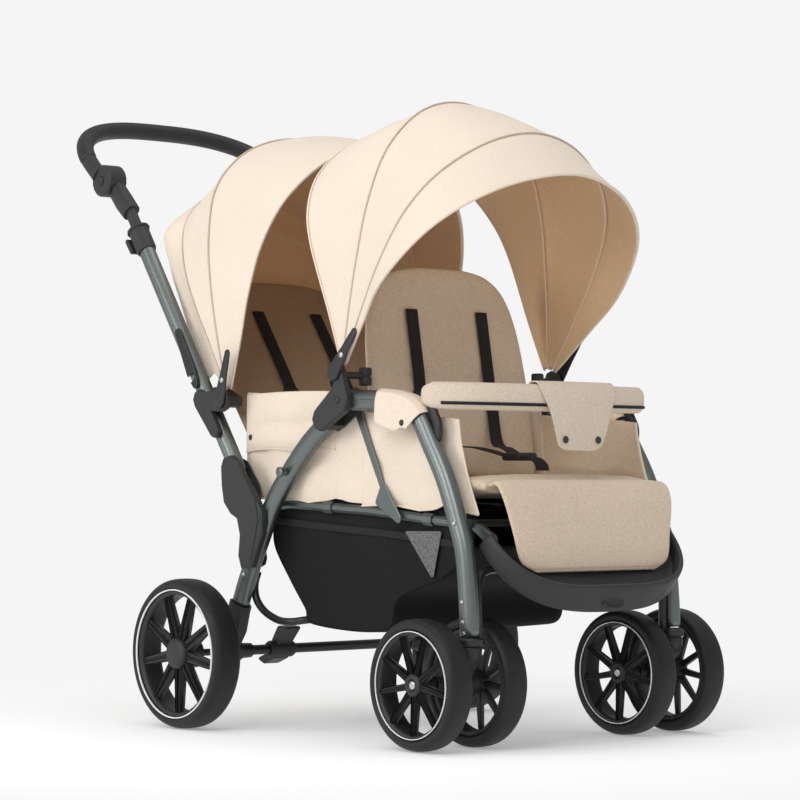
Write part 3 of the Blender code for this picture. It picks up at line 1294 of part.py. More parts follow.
def add_basket():
    """An open cloth basket with sloping ends."""
    bm = bmesh.new()
    floor = BASKET_FLOOR_Z + CLOTH
    outline = [(-0.077, 0.343), (-0.080, 0.300), (-0.118, 0.249), (-0.161, 0.200), (-0.183, floor),
               (-0.361, floor - 0.003), (-0.398, 0.224), (-0.500, 0.258), (-0.574, 0.306)]
    left = [bm.verts.new((-BASKET_HALF, *p)) for p in outline]
    right = [bm.verts.new((BASKET_HALF, *p)) for p in outline]
    for k in range(len(outline) - 1):
        bm.faces.new((left[k], left[k + 1], right[k + 1], right[k]))
    bm.faces.new(left)
    bm.faces.new(list(reversed(right)))
    obj = add_piece("basket", bm, "rear_frame", "black_cloth", 30)
    middle = obj.data.polygons[3]
    if middle.normal.z > 0:
        obj.data.flip_normals()
    shell = obj.modifiers.new("cloth", "SOLIDIFY")
    shell.thickness = CLOTH
    shell.offset = -1.0
    shell.use_even_offset = True


# Bumper bar and footrest

def add_bumper():
    hinge_x = BUMPER_HALF
    add_body("bumper_bar", at(hinge_x, BUMPER_END), "front_arch")
    steps = 8
    half = []
    for k in range(steps + 1):
        t = math.pi / 2 * k / steps
        x = -BUMPER_HALF * math.cos(t) ** (2 / 2.2)
        reach = (BUMPER_FRONT[0] - BUMPER_END[0]) * math.sin(t) ** (2 / 2.2)
        z = BUMPER_END[1] + (BUMPER_FRONT[1] - BUMPER_END[1]) * math.sin(t)
        half.append(Vector((x, BUMPER_END[0] + reach, z)))
    path = half + [Vector((-p.x, p.y, p.z)) for p in reversed(half[:-1])]
    bm = bmesh.new()
    ends = len(path)
    flat = [BUMPER_HALF_Y * (0.75 if i in (0, ends - 1) else 1.0) for i in range(ends)]
    tall = [BUMPER_HALF_Z * (0.75 if i in (0, ends - 1) else 1.0) for i in range(ends)]
    tube(bm, path, (0, 0, 1), flat, tall, 10, 2.4)
    add_piece("bumper_bar", bm, "bumper_bar", "cream_cloth", 60)

    off = BUMPER_HALF_Y + 0.0021
    centre = Vector(BUMPER_FRONT)
    tall = BUMPER_HALF_Z + 0.0021
    wrap = [(centre.x + off + 0.002, centre.y + 0.002), (centre.x + off * 0.6, centre.y + tall),
            (centre.x - off * 0.5, centre.y + tall + 0.001), (centre.x - off - 0.001, centre.y + 0.006),
            (centre.x - off - 0.003, centre.y - 0.025), (centre.x - off - 0.002, centre.y - 0.055),
            (centre.x - off + 0.002, centre.y - 0.078)]
    bm = bmesh.new()
    middle = bent_sheet(wrap, [0.078, 0.081, 0.081, 0.078, 0.064, 0.052, 0.043])
    curve = (centre.x - BUMPER_END[0])

    def bowed(u, v):
        point = middle(u, v)
        share = abs(point.x) / BUMPER_HALF
        bow = curve * (1 - (1 - share ** 2.2) ** (1 / 2.2))
        return point - Vector((0, bow, 0))
    pillow(bm, bowed, lambda u, v: 0.0013, 6, 9)
    add_piece("crotch_cover", bm, "bumper_bar", "cream_cloth", 60)


def footrest_path():
    """The footrest's middle line: down both arms and across the front in one bow."""
    pin = Vector(FOOTREST_PIN)
    front = Vector(FOOTREST_FRONT)
    steps = 9
    half = []
    for k in range(steps + 1):
        t = math.pi / 2 * k / steps
        x = -FOOTREST_HALF * math.cos(t) ** (2 / 3.2)
        share = math.sin(t) ** (2 / 2.3)
        point = pin.lerp(front, share)
        half.append(Vector((x, point.x, point.y)))
    return half + [Vector((-p.x, p.y, p.z)) for p in reversed(half[:-1])]


def add_footrest():
    add_body("footrest", at(0, FOOTREST_PIN), "front_arch")
    path = footrest_path()
    count = len(path)
    rings = []
    pin = Vector(FOOTREST_PIN)
    front = Vector(FOOTREST_FRONT)
    slope = Vector((0, *(front - pin).normalized()))
    arm_up = Vector((0, -slope.z, slope.y)) * -1
    face_up = Vector((0, -0.42, 0.91)).normalized()
    for i, point in enumerate(path):
        share = math.sin(math.pi * i / (count - 1))
        tangent = (path[min(i + 1, count - 1)] - path[max(i - 1, 0)]).normalized()
        tall = arm_up.lerp(face_up, share ** 1.5).normalized()
        tall = (tall - tangent * tall.dot(tangent)).normalized()
        out = tall.cross(tangent)
        height = 0.0155 + 0.0075 * share
        rings.append(section(point, out, tall, FOOTREST_WALL / 2, height, 10, 3.2, 0.5))
    bm = bmesh.new()
    skin(bm, rings)
    add_piece("footrest", bm, "footrest", "dark_plastic", 40)

    calf = [(-0.5975, 0.4000), (-0.622, 0.402), (-0.638, 0.376), (-0.646, 0.325), (-0.652, 0.268)]
    bm = bmesh.new()
    pillow(bm, bent_sheet(calf, [0.178, 0.182, 0.180, 0.165, 0.148]),
           lambda u, v: crown(u, v, 0.0065, 0.0020, 6), 8, 7)
    add_piece("calf_pad", bm, "footrest", "seat_cloth", 70)


materials = {}


def main():
    clear_scene()
    for name in MATERIALS:
        materials[name] = make_material(name)
    add_body("rear_frame", (0, 0, 0))
    add_rear_frame()
    add_front_arch()
    add_link_bars()
    add_casters()
    add_wheels()
    add_brake_pedal()
    add_fold_covers()
    add_push_bar()
    add_fold_hook()
    add_handle_slider()
    add_handle()
    add_canopies()
    add_seats()
    add_basket()
    add_bumper()
    add_footrest()


main()
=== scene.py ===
# %% [markdown]
# # A double buggy, dressed for a photograph
# This file takes the measured solids of a tandem pushchair and gives them their looks.
# The solids arrive as a frame: every node sits at the origin with its place in its mesh.
# Hard pieces keep their shape and get finer edges. Cloth is made anew, because a cushion or a
# canopy lives from its curves.

# %% Load the frame
import json
import math

import bmesh
import bpy
from mathutils import Matrix, Vector, noise

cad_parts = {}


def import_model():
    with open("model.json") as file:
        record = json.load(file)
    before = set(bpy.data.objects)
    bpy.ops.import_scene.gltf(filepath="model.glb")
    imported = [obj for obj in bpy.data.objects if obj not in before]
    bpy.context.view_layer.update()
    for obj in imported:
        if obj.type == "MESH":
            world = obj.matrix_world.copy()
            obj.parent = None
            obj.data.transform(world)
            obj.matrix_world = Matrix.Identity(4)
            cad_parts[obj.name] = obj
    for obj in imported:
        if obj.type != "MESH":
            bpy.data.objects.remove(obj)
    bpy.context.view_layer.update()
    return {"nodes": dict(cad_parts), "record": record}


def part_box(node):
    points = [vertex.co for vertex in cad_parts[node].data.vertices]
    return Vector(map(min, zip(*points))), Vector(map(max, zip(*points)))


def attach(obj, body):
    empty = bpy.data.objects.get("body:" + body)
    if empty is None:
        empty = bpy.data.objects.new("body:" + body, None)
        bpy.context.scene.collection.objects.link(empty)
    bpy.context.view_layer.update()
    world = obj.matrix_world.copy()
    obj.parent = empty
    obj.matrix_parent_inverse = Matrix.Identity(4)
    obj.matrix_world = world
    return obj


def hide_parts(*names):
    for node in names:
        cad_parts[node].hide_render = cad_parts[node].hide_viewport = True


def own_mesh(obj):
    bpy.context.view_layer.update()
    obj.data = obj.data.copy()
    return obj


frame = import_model()
BODY_OF = {node: body for body, nodes in frame["record"]["behaviour"]["bodies"].items() for node in nodes}
SLOT_OF = {row["node"]: row["material_slot"] for row in frame["record"]["subparts"]}
axle_low, axle_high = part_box("rear_axle")
SHIFT = (axle_low[1] + axle_high[1]) / 2
SIDES = (("left", -1), ("right", 1))
print("nodes", len(SLOT_OF), "rear axle at y", round(SHIFT, 4))

# %% [markdown]
# ## Small helpers
# Side views are drawn as (y, z) with the rear axle at y = 0. The helper `at` adds the frame's
# shift. A smooth line through a few points could be a Bezier curve. A Catmull-Rom line passes
# through its points, which suits points that were measured.

# %% Lines and places
UP = Vector((0, 0, 1))
ACROSS = Vector((1, 0, 0))


def at(x, y, z):
    """A point of the buggy: x across, y behind the rear axle, z above the floor."""
    return Vector((x, y + SHIFT, z))


def even(points, count):
    """The same line with its points spaced evenly."""
    lengths = [0.0]
    for a, b in zip(points, points[1:]):
        lengths.append(lengths[-1] + (b - a).length)
    out = []
    k = 0
    for i in range(count):
        goal = lengths[-1] * i / (count - 1)
        while k < len(points) - 2 and lengths[k + 1] < goal:
            k += 1
        span = max(lengths[k + 1] - lengths[k], 1e-9)
        out.append(points[k].lerp(points[k + 1], min((goal - lengths[k]) / span, 1.0)))
    return out


def through(points, steps=12):
    """A smooth line through the points, with `steps` stretches from each point to the next."""
    points = [Vector(p) for p in points]
    ends = [2 * points[0] - points[1]] + points + [2 * points[-1] - points[-2]]
    fine = []
    for a, b, c, d in zip(ends, ends[1:], ends[2:], ends[3:]):
        for k in range(steps):
            t = k / steps
            fine.append((2 * b + (c - a) * t + (2 * a - 5 * b + 4 * c - d) * t * t
                         + (3 * b - a - 3 * c + d) * t ** 3) / 2)
    fine.append(points[-1])
    return fine


def smooth_line(points, count):
    """A smooth line through the points, as `count` even points."""
    return even(through(points), count)


def on_line(line, share):
    """The point at a share from 0 to 1 of an even line."""
    place = min(max(share, 0.0), 1.0) * (len(line) - 1)
    i = min(int(place), len(line) - 2)
    return line[i].lerp(line[i + 1], place - i)


print("helpers for lines ready")

# %% [markdown]
# ## From a bmesh to a piece
# Each finished piece is an object at the origin. `finish` names it, gives it its material, lets it ride on
# its body, and hides the solids it stands for.

# %% Make a piece
made_pieces = []


def finish(name, bm, material, body, replaces=(), levels=0):
    """Turn a bmesh into a piece of the scene; levels says how often it is subdivided."""
    mesh = bpy.data.meshes.new(name)
    for face in bm.faces:
        face.smooth = True
    bm.to_mesh(mesh)
    bm.free()
    piece = bpy.data.objects.new(name, mesh)
    bpy.context.scene.collection.objects.link(piece)
    for entry in material if isinstance(material, list) else [material]:
        mesh.materials.append(entry)
    if levels:
        rounder = piece.modifiers.new("rounder", "SUBSURF")
        rounder.levels = levels
        rounder.render_levels = levels
    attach(piece, body)
    if replaces:
        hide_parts(*replaces)
    made_pieces.append(name)
    return piece


def ring_matrix(path, i, hint, half_hint, half_side):
    """Where the ring at point i of a path goes: x along the hint, y to the side, z along the path."""
    along = (path[min(i + 1, len(path) - 1)] - path[max(i - 1, 0)]).normalized()
    first = Vector(hint)
    first = (first - along * first.dot(along)).normalized()
    second = along.cross(first)
    turn = Matrix((first * half_hint, second * half_side, along)).transposed().to_4x4()
    return Matrix.Translation(path[i]) @ turn


def per_point(value, count):
    """One value for each point of a path, from a list or from a single value."""
    return value if isinstance(value, list) else [value] * count


def sweep(path, half_hint, half_side, hint=(1, 0, 0), sides=24, power=2.0, bm=None):
    """A tube along a path: one circle, extruded from point to point. A higher power squares it."""
    bm = bm or bmesh.new()
    count = len(path)
    wide = per_point(half_hint, count)
    deep = per_point(half_side, count)
    hints = per_point(hint, count)
    verts = bmesh.ops.create_circle(bm, cap_ends=True, segments=sides, radius=1.0)["verts"]
    for v in verts:
        v.co /= (abs(v.co.x) ** power + abs(v.co.y) ** power) ** (1 / power)
    edges = list({e for v in verts for e in v.link_edges})
    faces = {f for v in verts for f in v.link_faces}
    placed = Matrix.Identity(4)
    for i in range(count):
        if i:
            out = bmesh.ops.extrude_edge_only(bm, edges=edges)["geom"]
            verts = [g for g in out if isinstance(g, bmesh.types.BMVert)]
            known = set(verts)
            drawn = [g for g in out if isinstance(g, bmesh.types.BMEdge)]
            edges = [e for e in drawn if all(v in known for v in e.verts)]
            faces |= {f for v in verts for f in v.link_faces}
        spot = ring_matrix(path, i, hints[i], wide[i], deep[i])
        bmesh.ops.transform(bm, matrix=spot @ placed.inverted(), verts=verts)
        placed = spot
    faces |= set(bmesh.ops.contextual_create(bm, geom=edges)["faces"])
    bmesh.ops.recalc_face_normals(bm, faces=[f for f in faces if f.is_valid])
    return bm


def cloth_grid(where, columns, rows):
    """A sheet: a grid whose every point, (u, v) from -1 to 1, is carried to its place."""
    bm = bmesh.new()
    bmesh.ops.create_grid(bm, x_segments=columns, y_segments=rows, size=1.0)
    for v in bm.verts:
        v.co = where(v.co.x, v.co.y)
    return bm


def cushion_form(middle, half_thick, columns, rows):
    """A stuffed form: a grid and its copy, joined round the edge and blown up between."""
    bm = bmesh.new()
    bmesh.ops.create_grid(bm, x_segments=columns, y_segments=rows, size=1.0)
    for v in bm.verts:
        v.co.z = -1.0
    out = bmesh.ops.extrude_face_region(bm, geom=bm.faces[:])["geom"]
    top = [g for g in out if isinstance(g, bmesh.types.BMVert)]
    bmesh.ops.translate(bm, verts=top, vec=(0, 0, 2))
    step = 0.02
    for v in bm.verts:
        a, b, side = v.co
        du = middle(min(a + step, 1), b) - middle(max(a - step, -1), b)
        dv = middle(a, min(b + step, 1)) - middle(a, max(b - step, -1))
        v.co = middle(a, b) + du.cross(dv).normalized() * side * half_thick(a, b)
    bmesh.ops.recalc_face_normals(bm, faces=bm.faces[:])
    return bm


def spun(profile, centre, outward, steps=96):
    """A round piece: a profile of (out, radius) pairs, turned about the x axis through centre."""
    bm = bmesh.new()
    verts = [bm.verts.new(centre + Vector((out * outward, 0, radius))) for out, radius in profile]
    edges = [bm.edges.new(pair) for pair in zip(verts, verts[1:])]
    bmesh.ops.spin(bm, geom=verts + edges, cent=centre, axis=(1, 0, 0), angle=math.tau, steps=steps,
                   use_merge=True, use_duplicate=False)
    bmesh.ops.remove_doubles(bm, verts=bm.verts[:], dist=1e-5)
    bmesh.ops.recalc_face_normals(bm, faces=bm.faces[:])
    return bm


def cut_size(where, stretches=40):
    """The flat width and length of a sheet, along its longest lines both ways."""
    places = [-1 + 2 * k / stretches for k in range(stretches + 1)]

    def longest(point):
        lines = [[point(a, b) for b in places] for a in (-1.0, -0.5, 0.0, 0.5, 1.0)]
        return max(sum((b - a).length for a, b in zip(line, line[1:])) for line in lines)
    return longest(where), longest(lambda v, u: where(u, v))


def area_of(bm):
    """The area of a sheet."""
    return sum(face.calc_area() for face in bm.faces)


def thicken(piece, thick):
    """Give a sheet its thickness, on the side that its faces look away from."""
    shell = piece.modifiers.new("cloth", "SOLIDIFY")
    shell.thickness = thick
    shell.offset = -1.0
    return shell


print("helpers for pieces ready")

# %% [markdown]
# ## Finishes as node groups
# Cloth, moulded plastic and painted tube differ mostly in how their colour, roughness and
# relief vary over a few millimetres. Each effect is one node group with named sockets, placed in
# each material with its own values. Patterns read Object coordinates, so they stay on the piece.

# %% A helper for node groups
def node_group(name, inputs, outputs):
    """A shader node group with float and colour sockets, and its two end nodes."""
    group = bpy.data.node_groups.new(name, "ShaderNodeTree")
    for label, kind, value in inputs:
        socket = group.interface.new_socket(label, in_out="INPUT", socket_type=kind)
        if value is not None:
            socket.default_value = value
    for label, kind in outputs:
        group.interface.new_socket(label, in_out="OUTPUT", socket_type=kind)
    start = group.nodes.new("NodeGroupInput")
    end = group.nodes.new("NodeGroupOutput")
    return group, start, end


def noise_node(group, vector, scale, detail=2.0):
    """A noise texture on a vector socket."""
    node = group.nodes.new("ShaderNodeTexNoise")
    node.inputs["Scale"].default_value = scale
    node.inputs["Detail"].default_value = detail
    group.links.new(vector, node.inputs["Vector"])
    return node.outputs["Fac"]


def maths(group, operation, a, b):
    """A maths node between two sockets or numbers."""
    node = group.nodes.new("ShaderNodeMath")
    node.operation = operation
    for i, value in enumerate((a, b)):
        if isinstance(value, (int, float)):
            node.inputs[i].default_value = value
        else:
            group.links.new(value, node.inputs[i])
    return node.outputs[0]


def ramp_value(group, value, low, high):
    """Carry a noise value, which is mostly between 0.3 and 0.7, to low..high."""
    node = group.nodes.new("ShaderNodeMapRange")
    node.inputs["From Min"].default_value = 0.3
    node.inputs["From Max"].default_value = 0.7
    node.inputs["To Min"].default_value = low
    node.inputs["To Max"].default_value = high
    group.links.new(value, node.inputs["Value"])
    return node.outputs["Result"]


def scaled_colour(group, colour, factor):
    """A colour times a varying number."""
    node = group.nodes.new("ShaderNodeVectorMath")
    node.operation = "SCALE"
    group.links.new(colour, node.inputs[0])
    group.links.new(factor, node.inputs["Scale"])
    return node.outputs[0]


def mottled(group, value, start):
    """The group's colour, lighter and darker with a noise value and the group's contrast."""
    swing = maths(group, "MULTIPLY", maths(group, "SUBTRACT", value, 0.5), start.outputs["Contrast"])
    return scaled_colour(group, start.outputs["Colour"], maths(group, "ADD", swing, 1.0))


def stretched(group, vector, scale):
    """Object coordinates stretched by a vector, for threads and brush marks."""
    node = group.nodes.new("ShaderNodeMapping")
    node.inputs["Scale"].default_value = scale
    group.links.new(vector, node.inputs["Vector"])
    return node.outputs["Vector"]


SURFACE_IN = [("Vector", "NodeSocketVector", None),
              ("Colour", "NodeSocketColor", (0.8, 0.8, 0.8, 1)),
              ("Contrast", "NodeSocketFloat", 0.1)]
SURFACE_OUT = [("Color", "NodeSocketColor"), ("Roughness", "NodeSocketFloat"),
               ("Height", "NodeSocketFloat")]
print("helpers for node groups ready")

# %% The woven cloth group
THREAD_SCALE = 1500.0
FLECK_SCALE = 420.0
CLOUD_SCALE = 9.0
THREAD_SHARE = 0.8
FLECK_SHARE = 1.2
CLOUD_SHARE = 0.10
CONTRAST_GAIN = 4.0
weave, start, end = node_group("woven cloth", SURFACE_IN, SURFACE_OUT)
vector = start.outputs["Vector"]
upright = noise_node(weave, stretched(weave, vector, (1.0, 1.0, 0.18)), THREAD_SCALE)
level = noise_node(weave, stretched(weave, vector, (0.2, 0.2, 1.0)), THREAD_SCALE)
threads = maths(weave, "MULTIPLY", maths(weave, "ADD", upright, level), 0.5)
flecks = noise_node(weave, vector, FLECK_SCALE, 3.0)
clouds = noise_node(weave, vector, CLOUD_SCALE, 3.0)
both = maths(weave, "ADD", maths(weave, "MULTIPLY", threads, THREAD_SHARE),
             maths(weave, "MULTIPLY", flecks, FLECK_SHARE))
spread = maths(weave, "SUBTRACT", both, (THREAD_SHARE + FLECK_SHARE) / 2)
gain = maths(weave, "MULTIPLY", start.outputs["Contrast"], CONTRAST_GAIN)
varied = maths(weave, "MULTIPLY", spread, gain)
cloudy = maths(weave, "MULTIPLY", maths(weave, "SUBTRACT", clouds, 0.5), CLOUD_SHARE)
factor = maths(weave, "ADD", maths(weave, "ADD", varied, cloudy), 1.0)
weave.links.new(scaled_colour(weave, start.outputs["Colour"], factor), end.inputs["Color"])
weave.links.new(ramp_value(weave, flecks, 0.86, 0.98), end.inputs["Roughness"])
weave.links.new(threads, end.inputs["Height"])
print("group", weave.name, "with", len(weave.nodes), "nodes")

# %% The moulded plastic and painted tube groups
GRAIN_SCALE = 900.0
SCUFF_SCALE = 26.0
mould, start, end = node_group("moulded plastic", SURFACE_IN, SURFACE_OUT)
vector = start.outputs["Vector"]
grain = noise_node(mould, vector, GRAIN_SCALE, 2.0)
scuffs = noise_node(mould, vector, SCUFF_SCALE, 5.0)
mould.links.new(mottled(mould, scuffs, start), end.inputs["Color"])
mould.links.new(ramp_value(mould, scuffs, 0.42, 0.56), end.inputs["Roughness"])
mould.links.new(grain, end.inputs["Height"])

FLAKE_SCALE = 2400.0
DRAWN_SCALE = 240.0
paint, start, end = node_group("painted tube", SURFACE_IN, SURFACE_OUT)
vector = start.outputs["Vector"]
flake = noise_node(paint, vector, FLAKE_SCALE, 1.0)
drawn_marks = noise_node(paint, stretched(paint, vector, (1.0, 0.12, 0.12)), DRAWN_SCALE, 3.0)
paint.links.new(mottled(paint, flake, start), end.inputs["Color"])
paint.links.new(ramp_value(paint, drawn_marks, 0.34, 0.39), end.inputs["Roughness"])
paint.links.new(flake, end.inputs["Height"])
print("groups", mould.name, "and", paint.name)

# %% Place a group in a material
def surface(name, group, colour, contrast, metallic=0.0, relief=0.00015, sheen=0.0, specular=0.5):
    """A material: one node group in front of one Principled shader."""
    material = bpy.data.materials.new(name)
    material.use_nodes = True
    nodes = material.node_tree.nodes
    links = material.node_tree.links
    shader = nodes["Principled BSDF"]
    place = nodes.new("ShaderNodeTexCoord")
    finish_node = nodes.new("ShaderNodeGroup")
    finish_node.node_tree = group
    finish_node.inputs["Colour"].default_value = (*colour, 1)
    finish_node.inputs["Contrast"].default_value = contrast
    links.new(place.outputs["Object"], finish_node.inputs["Vector"])
    links.new(finish_node.outputs["Color"], shader.inputs["Base Color"])
    links.new(finish_node.outputs["Roughness"], shader.inputs["Roughness"])
    bump = nodes.new("ShaderNodeBump")
    bump.inputs["Distance"].default_value = relief
    bump.inputs["Strength"].default_value = 0.6
    links.new(finish_node.outputs["Height"], bump.inputs["Height"])
    links.new(bump.outputs["Normal"], shader.inputs["Normal"])
    shader.inputs["Metallic"].default_value = metallic
    shader.inputs["Sheen Weight"].default_value = sheen
    shader.inputs["Specular IOR Level"].default_value = specular
    material.diffuse_color = (*colour, 1)
    return material


cream = surface("cream canopy cloth", weave, (0.80, 0.69, 0.573), 0.05, sheen=0.1)
lining = surface("tan canopy lining", weave, (0.78, 0.555, 0.345), 0.10, sheen=0.1)
side_cream = surface("cream side cloth", weave, (0.80, 0.685, 0.56), 0.07, sheen=0.1)
melange = surface("beige melange cloth", weave, (0.66, 0.54, 0.41), 0.14, sheen=0.15)
bumper_cloth = surface("bumper cloth", weave, (0.665, 0.56, 0.45), 0.12, sheen=0.1)
# Painted shade: a darker copy of the beige melange for the rear backrest, which lies in the shade of the
# rear hood.
painted_shade_melange = surface("brown shaded cloth", weave, (0.36, 0.25, 0.165), 0.16, sheen=0.15)
# Painted shade: the piped seams take a darker cream that stands in for the shadow line along each seam.
seam_painted_shade = surface("seam cream with painted shade", weave, (0.58, 0.48, 0.375), 0.10)
webbing = surface("black webbing", weave, (0.012, 0.012, 0.013), 0.25, relief=0.0003)
mesh_cloth = surface("black mesh cloth", weave, (0.011, 0.011, 0.012), 0.40, relief=0.0005, specular=0.25)
pale_mesh = surface("grey window mesh", weave, (0.15, 0.152, 0.155), 0.50, relief=0.0005, specular=0.25)
dark_plastic = surface("dark grey plastic", mould, (0.034, 0.035, 0.035), 0.25, specular=0.3)
black_plastic = surface("black plastic", mould, (0.016, 0.016, 0.017), 0.25)
foam = surface("black foam", mould, (0.012, 0.012, 0.012), 0.35, relief=0.0004)
tyre_rubber = surface("tyre rubber", mould, (0.015, 0.015, 0.0145), 0.30, relief=0.0003, specular=0.3)
ring_white = surface("white tyre ring", mould, (0.88, 0.88, 0.86), 0.06)
frame_paint = surface("grey tube paint", paint, (0.17, 0.19, 0.185), 0.06, metallic=0.9, relief=0.00001)
dark_paint = surface("dark tube paint", paint, (0.040, 0.042, 0.042), 0.30, metallic=0.6, relief=0.00003)
bright_steel = surface("bright steel", paint, (0.56, 0.56, 0.56), 0.10, metallic=1.0, relief=0.00002)
print("materials", len(bpy.data.materials))

# %% Tread of the tyres
# The grooves of the tread slant across both shoulders. The tyres carry a map of their own: once
# round the wheel in u, and across the tread in v.
GROOVES_ROUND = 54.0
GROOVE_SLANT = 0.9
GROOVE_EDGE = 0.72
GROOVE_DEPTH = 0.0030
SHOULDER_FROM = 0.30
SHOULDER_TO = 0.90
tread, start, end = node_group("tyre tread", [("Vector", "NodeSocketVector", None)],
                               [("Height", "NodeSocketFloat")])
parts = tread.nodes.new("ShaderNodeSeparateXYZ")
tread.links.new(start.outputs["Vector"], parts.inputs[0])
aside = maths(tread, "ABSOLUTE", parts.outputs["Y"], 0.0)
phase = maths(tread, "ADD", maths(tread, "MULTIPLY", parts.outputs["X"], GROOVES_ROUND),
              maths(tread, "MULTIPLY", aside, GROOVE_SLANT))
wave = maths(tread, "SINE", maths(tread, "MULTIPLY", phase, math.tau), 0.0)
cut = maths(tread, "GREATER_THAN", wave, GROOVE_EDGE)
on_shoulder = maths(tread, "MULTIPLY", maths(tread, "GREATER_THAN", aside, SHOULDER_FROM),
                    maths(tread, "LESS_THAN", aside, SHOULDER_TO))
sunk = maths(tread, "MULTIPLY", maths(tread, "MULTIPLY", cut, on_shoulder), -1.0)
tread.links.new(sunk, end.inputs["Height"])
nodes = tyre_rubber.node_tree.nodes
links = tyre_rubber.node_tree.links
wheel_map = nodes.new("ShaderNodeUVMap")
wheel_map.uv_map = "round"
grooves = nodes.new("ShaderNodeGroup")
grooves.node_tree = tread
links.new(wheel_map.outputs["UV"], grooves.inputs["Vector"])
groove_bump = nodes.new("ShaderNodeBump")
groove_bump.inputs["Distance"].default_value = GROOVE_DEPTH
links.new(grooves.outputs["Height"], groove_bump.inputs["Height"])
links.new(nodes["Bump"].outputs["Normal"], groove_bump.inputs["Normal"])
links.new(groove_bump.outputs["Normal"], nodes["Principled BSDF"].inputs["Normal"])
print("tread group with", len(tread.nodes), "nodes")

# %% Materials for the solids
BY_SLOT = {"frame_metal": frame_paint, "dark_metal": dark_paint, "bright_metal": bright_steel,
           "dark_plastic": dark_plastic, "black_plastic": black_plastic, "foam": foam,
           "tyre": tyre_rubber, "cream_cloth": cream, "seat_cloth": melange, "black_cloth": webbing}
for node, solid in frame["nodes"].items():
    for slot in solid.material_slots:
        slot.material = BY_SLOT[SLOT_OF[node]]
print("solids painted", len(frame["nodes"]))

# %% [markdown]
# ## Hard fittings
# The solids of the fittings are right but have knife edges, which no moulding has. A Bevel
# modifier on a merged copy gives each edge a small radius that catches the light.

# %% Round the edges of the fittings
# The radius of the edges, in metres, for every solid whose name starts with the stem.
REFINED = {"apex_housing": 0.0016, "rear_foot": 0.0012, "fold_cover": 0.0012, "canopy_bracket": 0.0010,
           "clamp_collar": 0.0007, "clamp_lever": 0.0008, "fold_hook": 0.0010, "lower_knuckle": 0.0010,
           "upper_knuckle": 0.0010, "caster_fork": 0.0012, "front_brace": 0.0010, "link_bar": 0.0005,
           "brake_pedal": 0.0010, "seat_frame": 0.0008, "rear_axle": 0.0005, "tilt_button": 0.0004,
           "handle_tube": 0.0004}
FLAT_WITHIN = math.radians(1.0)
SHARP_FROM = math.radians(38)


def refined(node, radius):
    """A merged copy of a solid with rounded edges, in place of the solid."""
    bm = bmesh.new()
    bm.from_mesh(frame["nodes"][node].data)
    bmesh.ops.remove_doubles(bm, verts=bm.verts[:], dist=1e-6)
    bmesh.ops.dissolve_limit(bm, angle_limit=FLAT_WITHIN, verts=bm.verts[:], edges=bm.edges[:])
    piece = finish(node + "_fine", bm, BY_SLOT[SLOT_OF[node]], BODY_OF[node], (node,))
    soft_edge = piece.modifiers.new("soft edge", "BEVEL")
    soft_edge.width = radius
    soft_edge.segments = 2
    soft_edge.limit_method = "ANGLE"
    soft_edge.angle_limit = SHARP_FROM
    soft_edge.harden_normals = False
    even_normals = piece.modifiers.new("even normals", "WEIGHTED_NORMAL")
    even_normals.keep_sharp = True


for node in sorted(SLOT_OF):
    for stem, radius in REFINED.items():
        if node.startswith(stem):
            refined(node, radius)
print("refined fittings", len(made_pieces))

# %% [markdown]
# ## Frame tubes
# The legs and push tubes are oval tubes with a soft ridge along their outer face. A curve object
# with a bevel could draw them. Here a circle is pressed to the oval and extruded along the
# measured line, which leaves a plain mesh that needs no more steps.

# %% Legs and push tubes
TUBE_X = 0.2170
HALF_X = 0.0125
LEG_HALF = 0.0165
PUSH_HALF = 0.0150
REAR_LEG = [(-0.267, 0.504), (-0.220, 0.473), (-0.171, 0.429), (-0.122, 0.375), (-0.094, 0.326),
            (-0.067, 0.277), (-0.045, 0.236), (-0.031, 0.205)]
FRONT_LEG = [(-0.318, 0.536), (-0.381, 0.533), (-0.440, 0.527), (-0.480, 0.511), (-0.515, 0.461),
             (-0.548, 0.407), (-0.575, 0.343), (-0.591, 0.294), (-0.599, 0.217), (-0.602, 0.173)]
PUSH_LOW = (-0.026, 0.421)
PUSH_HIGH = (0.2590, 0.8330)
TUBES = (("rear_leg", REAR_LEG, "rear_frame", LEG_HALF),
         ("front_leg", FRONT_LEG, "front_arch", LEG_HALF),
         ("push_tube", [PUSH_LOW, PUSH_HIGH], "push_bar", PUSH_HALF))
# The stud of the latch as (out from the tube, radius), and the bracket that holds the bumper bar.
STUD = (-0.168, 0.422)
STUD_FORM = [(-0.003, 0.006), (0.006, 0.006), (0.0105, 0.006), (0.0108, 0.0082), (0.0145, 0.0082),
             (0.0150, 0.007)]
BRACKET_X = 0.2130
BRACKET = [(-0.523, 0.470), (-0.524, 0.492), (-0.515, 0.510), (-0.508, 0.524)]
for side, sign in SIDES:
    for stem, points, body, half in TUBES:
        line = smooth_line([at(sign * TUBE_X, *p) for p in points], 60)
        bm = sweep(line, HALF_X, half, sides=28, power=2.3)
        ridge = [p + ACROSS * sign * (HALF_X - 0.0003) for p in line[1:-1]]
        sweep(ridge, 0.0009, 0.0022, sides=8, bm=bm)
        if stem == "rear_leg":
            stud = [at(sign * (TUBE_X + HALF_X + out), *STUD) for out, radius in STUD_FORM]
            radii = [radius for out, radius in STUD_FORM]
            sweep(stud, radii, radii, hint=UP, sides=20, bm=bm)
        if stem == "front_leg":
            hook = smooth_line([at(sign * BRACKET_X, *p) for p in BRACKET], 14)
            finish("bumper_bracket_" + side, sweep(hook, 0.0050, 0.0085, sides=20, power=3.0),
                   black_plastic, body)
        finish(stem + "_" + side + "_tube", bm, frame_paint, body, (stem + "_" + side,))
print("tubes made, pieces so far", len(made_pieces))

